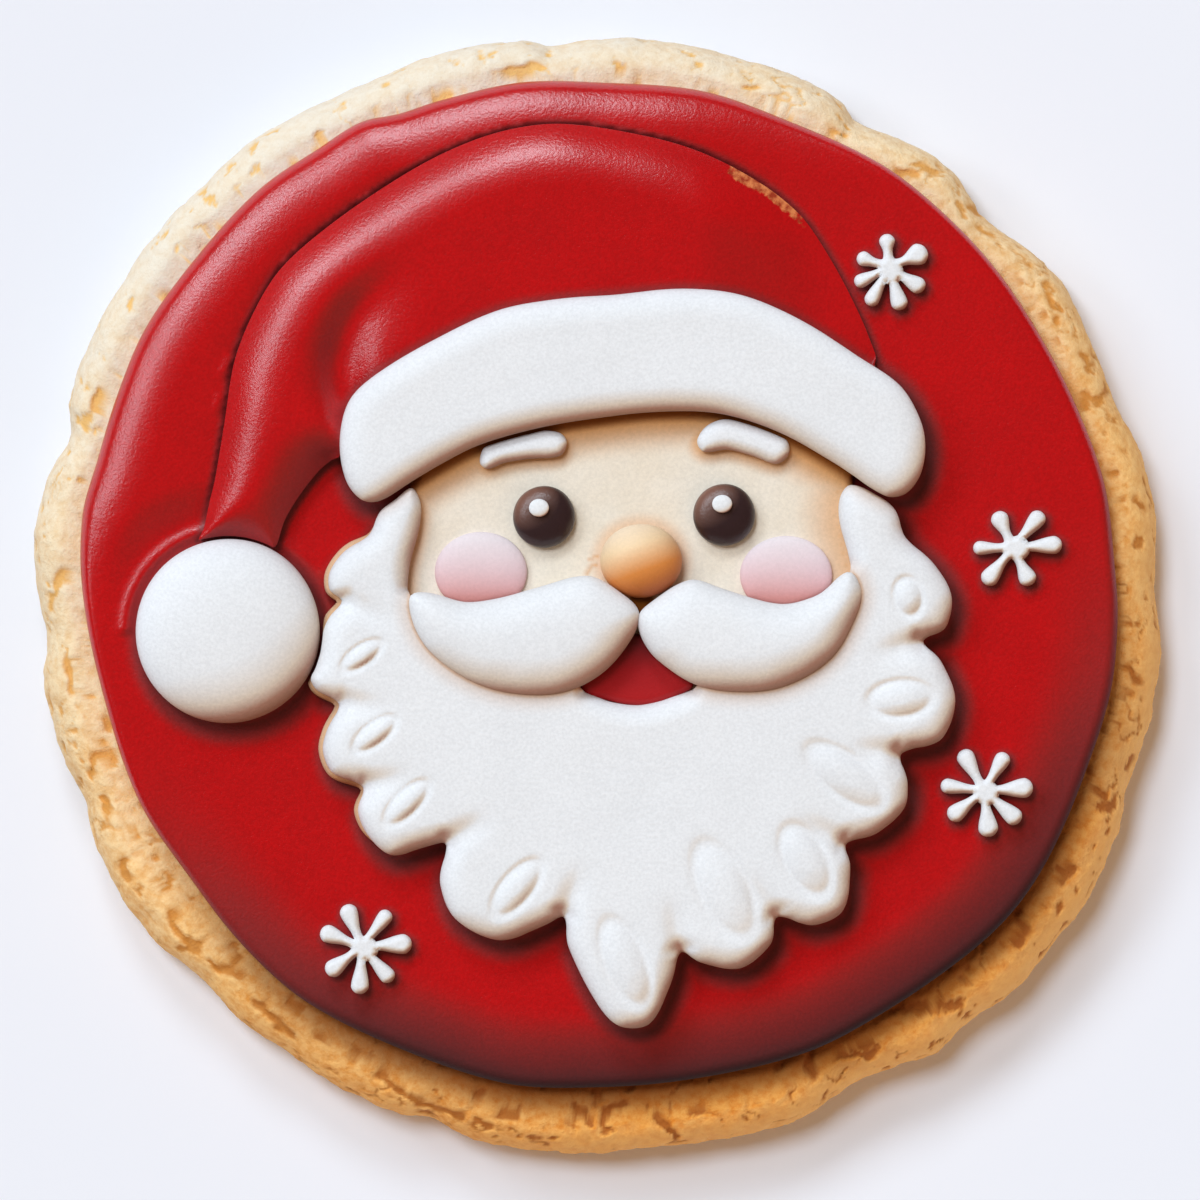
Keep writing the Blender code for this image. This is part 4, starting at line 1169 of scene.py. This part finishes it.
def make_hat(finish, brim):
    """The raised hat, full height against its brim and softly sloped elsewhere."""
    # The hat gets painted shade close to its brim.
    marks = {"bare": bare_strip, "painted_shade_and_cracks": near_to([brim], **HAT_AT_BRIM_MARK)}
    icing(
        "hat", HAT_THICKNESS, HAT_EDGE_WIDTH, HAT_SPACING, finish, hat_relief(),
        joined=[brim], wall=HAT_WALL, profile=sloped, marks=marks,
    )


def make_head(finish, brim, beard):
    """The tan layer of the face, which runs under the brim and the beard."""
    brows = [foot("brow_left"), foot("brow_right")]
    icing(
        "head", HEAD_THICKNESS, HEAD_EDGE_WIDTH, HEAD_SPACING, finish,
        uneven_relief(*HEAD_UNEVEN), touching=[brim],
        marks={"painted_shade_and_cracks": face_painted_shade_and_cracks(brim, beard, brows, foot("nose"))},
    )


def make_brim(finish):
    """The thick white brim of the hat."""
    icing(
        "hat_brim", BRIM_THICKNESS, BRIM_EDGE_WIDTH, BRIM_SPACING, finish,
        uneven_relief(*BRIM_UNEVEN), wall=BRIM_WALL,
    )


def make_beard(finish, brim):
    """The lobed beard, full height against the moustache."""
    halves = [foot("moustache_left"), foot("moustache_right")]
    icing(
        "beard", BEARD_THICKNESS, BEARD_EDGE_WIDTH, BEARD_SPACING, finish, beard_relief,
        # Painted shadow, with a fine painted contact line, on the beard below the moustache and the brim.
        joined=halves, marks={"painted_shade_and_cracks": near_to([*halves, brim], **BEARD_MARK)},
    )


def make_side(side, white, pink, brown):
    """The pieces of one side of the face: half of the moustache, a cheek, a brow, and an eye."""
    icing(
        f"moustache_{side}", MOUSTACHE_THICKNESS, MOUSTACHE_EDGE_WIDTH, MOUSTACHE_SPACING, white,
        uneven_relief(*MOUSTACHE_UNEVEN), wall=MOUSTACHE_WALL, swell=MOUSTACHE_SWELL,
    )
    icing(
        f"cheek_{side}", CHEEK_THICKNESS, CHEEK_EDGE_WIDTH, CHEEK_SPACING, pink,
        wall=CHEEK_WALL, swell=CHEEK_SWELL,
    )
    icing(f"brow_{side}", BROW_THICKNESS, BROW_EDGE_WIDTH, BROW_SPACING, white)
    dome(f"eye_{side}", brown, 2.2)
    dome(f"eye_glint_{side}", white, 2.2, sides=48, steps=14)


def make_snowflake(number, finish):
    """A small star of piped drops, filled out at its middle."""
    icing(
        f"snowflake_{number}", SNOWFLAKE_THICKNESS, SNOWFLAKE_EDGE_WIDTH, SNOWFLAKE_SPACING, finish,
        wall=SNOWFLAKE_WALL, swell=SNOWFLAKE_SWELL, hub=SNOWFLAKE_HUB,
    )


def build():
    """Every piece of the biscuit, from the dough up."""
    dough = dough_material()
    red = red_material()
    white = white_material()
    tan = tan_material()
    pink = cheek_material()
    brown = eye_material()
    orange = nose_material()
    hat = foot("hat")
    pompom = foot("pompom")
    brim = foot("hat_brim")
    beard = foot("beard")

    make_biscuit(dough)
    make_sheet(red, hat, brim, beard, pompom)
    make_hat(red, brim)
    make_head(tan, brim, beard)
    make_brim(white)
    make_beard(white, brim)
    for side in ("left", "right"):
        make_side(side, white, pink, brown)
    icing(
        "mouth", MOUTH_THICKNESS, MOUTH_EDGE_WIDTH, MOUTH_SPACING, mouth_material(),
        swell=MOUTH_SWELL,
    )
    dome("pompom", white, 2.4, sides=200, steps=60)
    dome("nose", orange, 2.1, sides=128, steps=48)
    for number in range(1, 5):
        make_snowflake(number, white)


def main():
    build()
    make_lights()
    make_sky()
    make_floor()
    make_camera()
    bpy.context.scene.view_settings.view_transform = "Standard"
    sizes = {"cad": cad_bounds, "visual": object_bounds()}
    sizes = {name: [list(corner) for corner in corners] for name, corners in sizes.items()}


main()
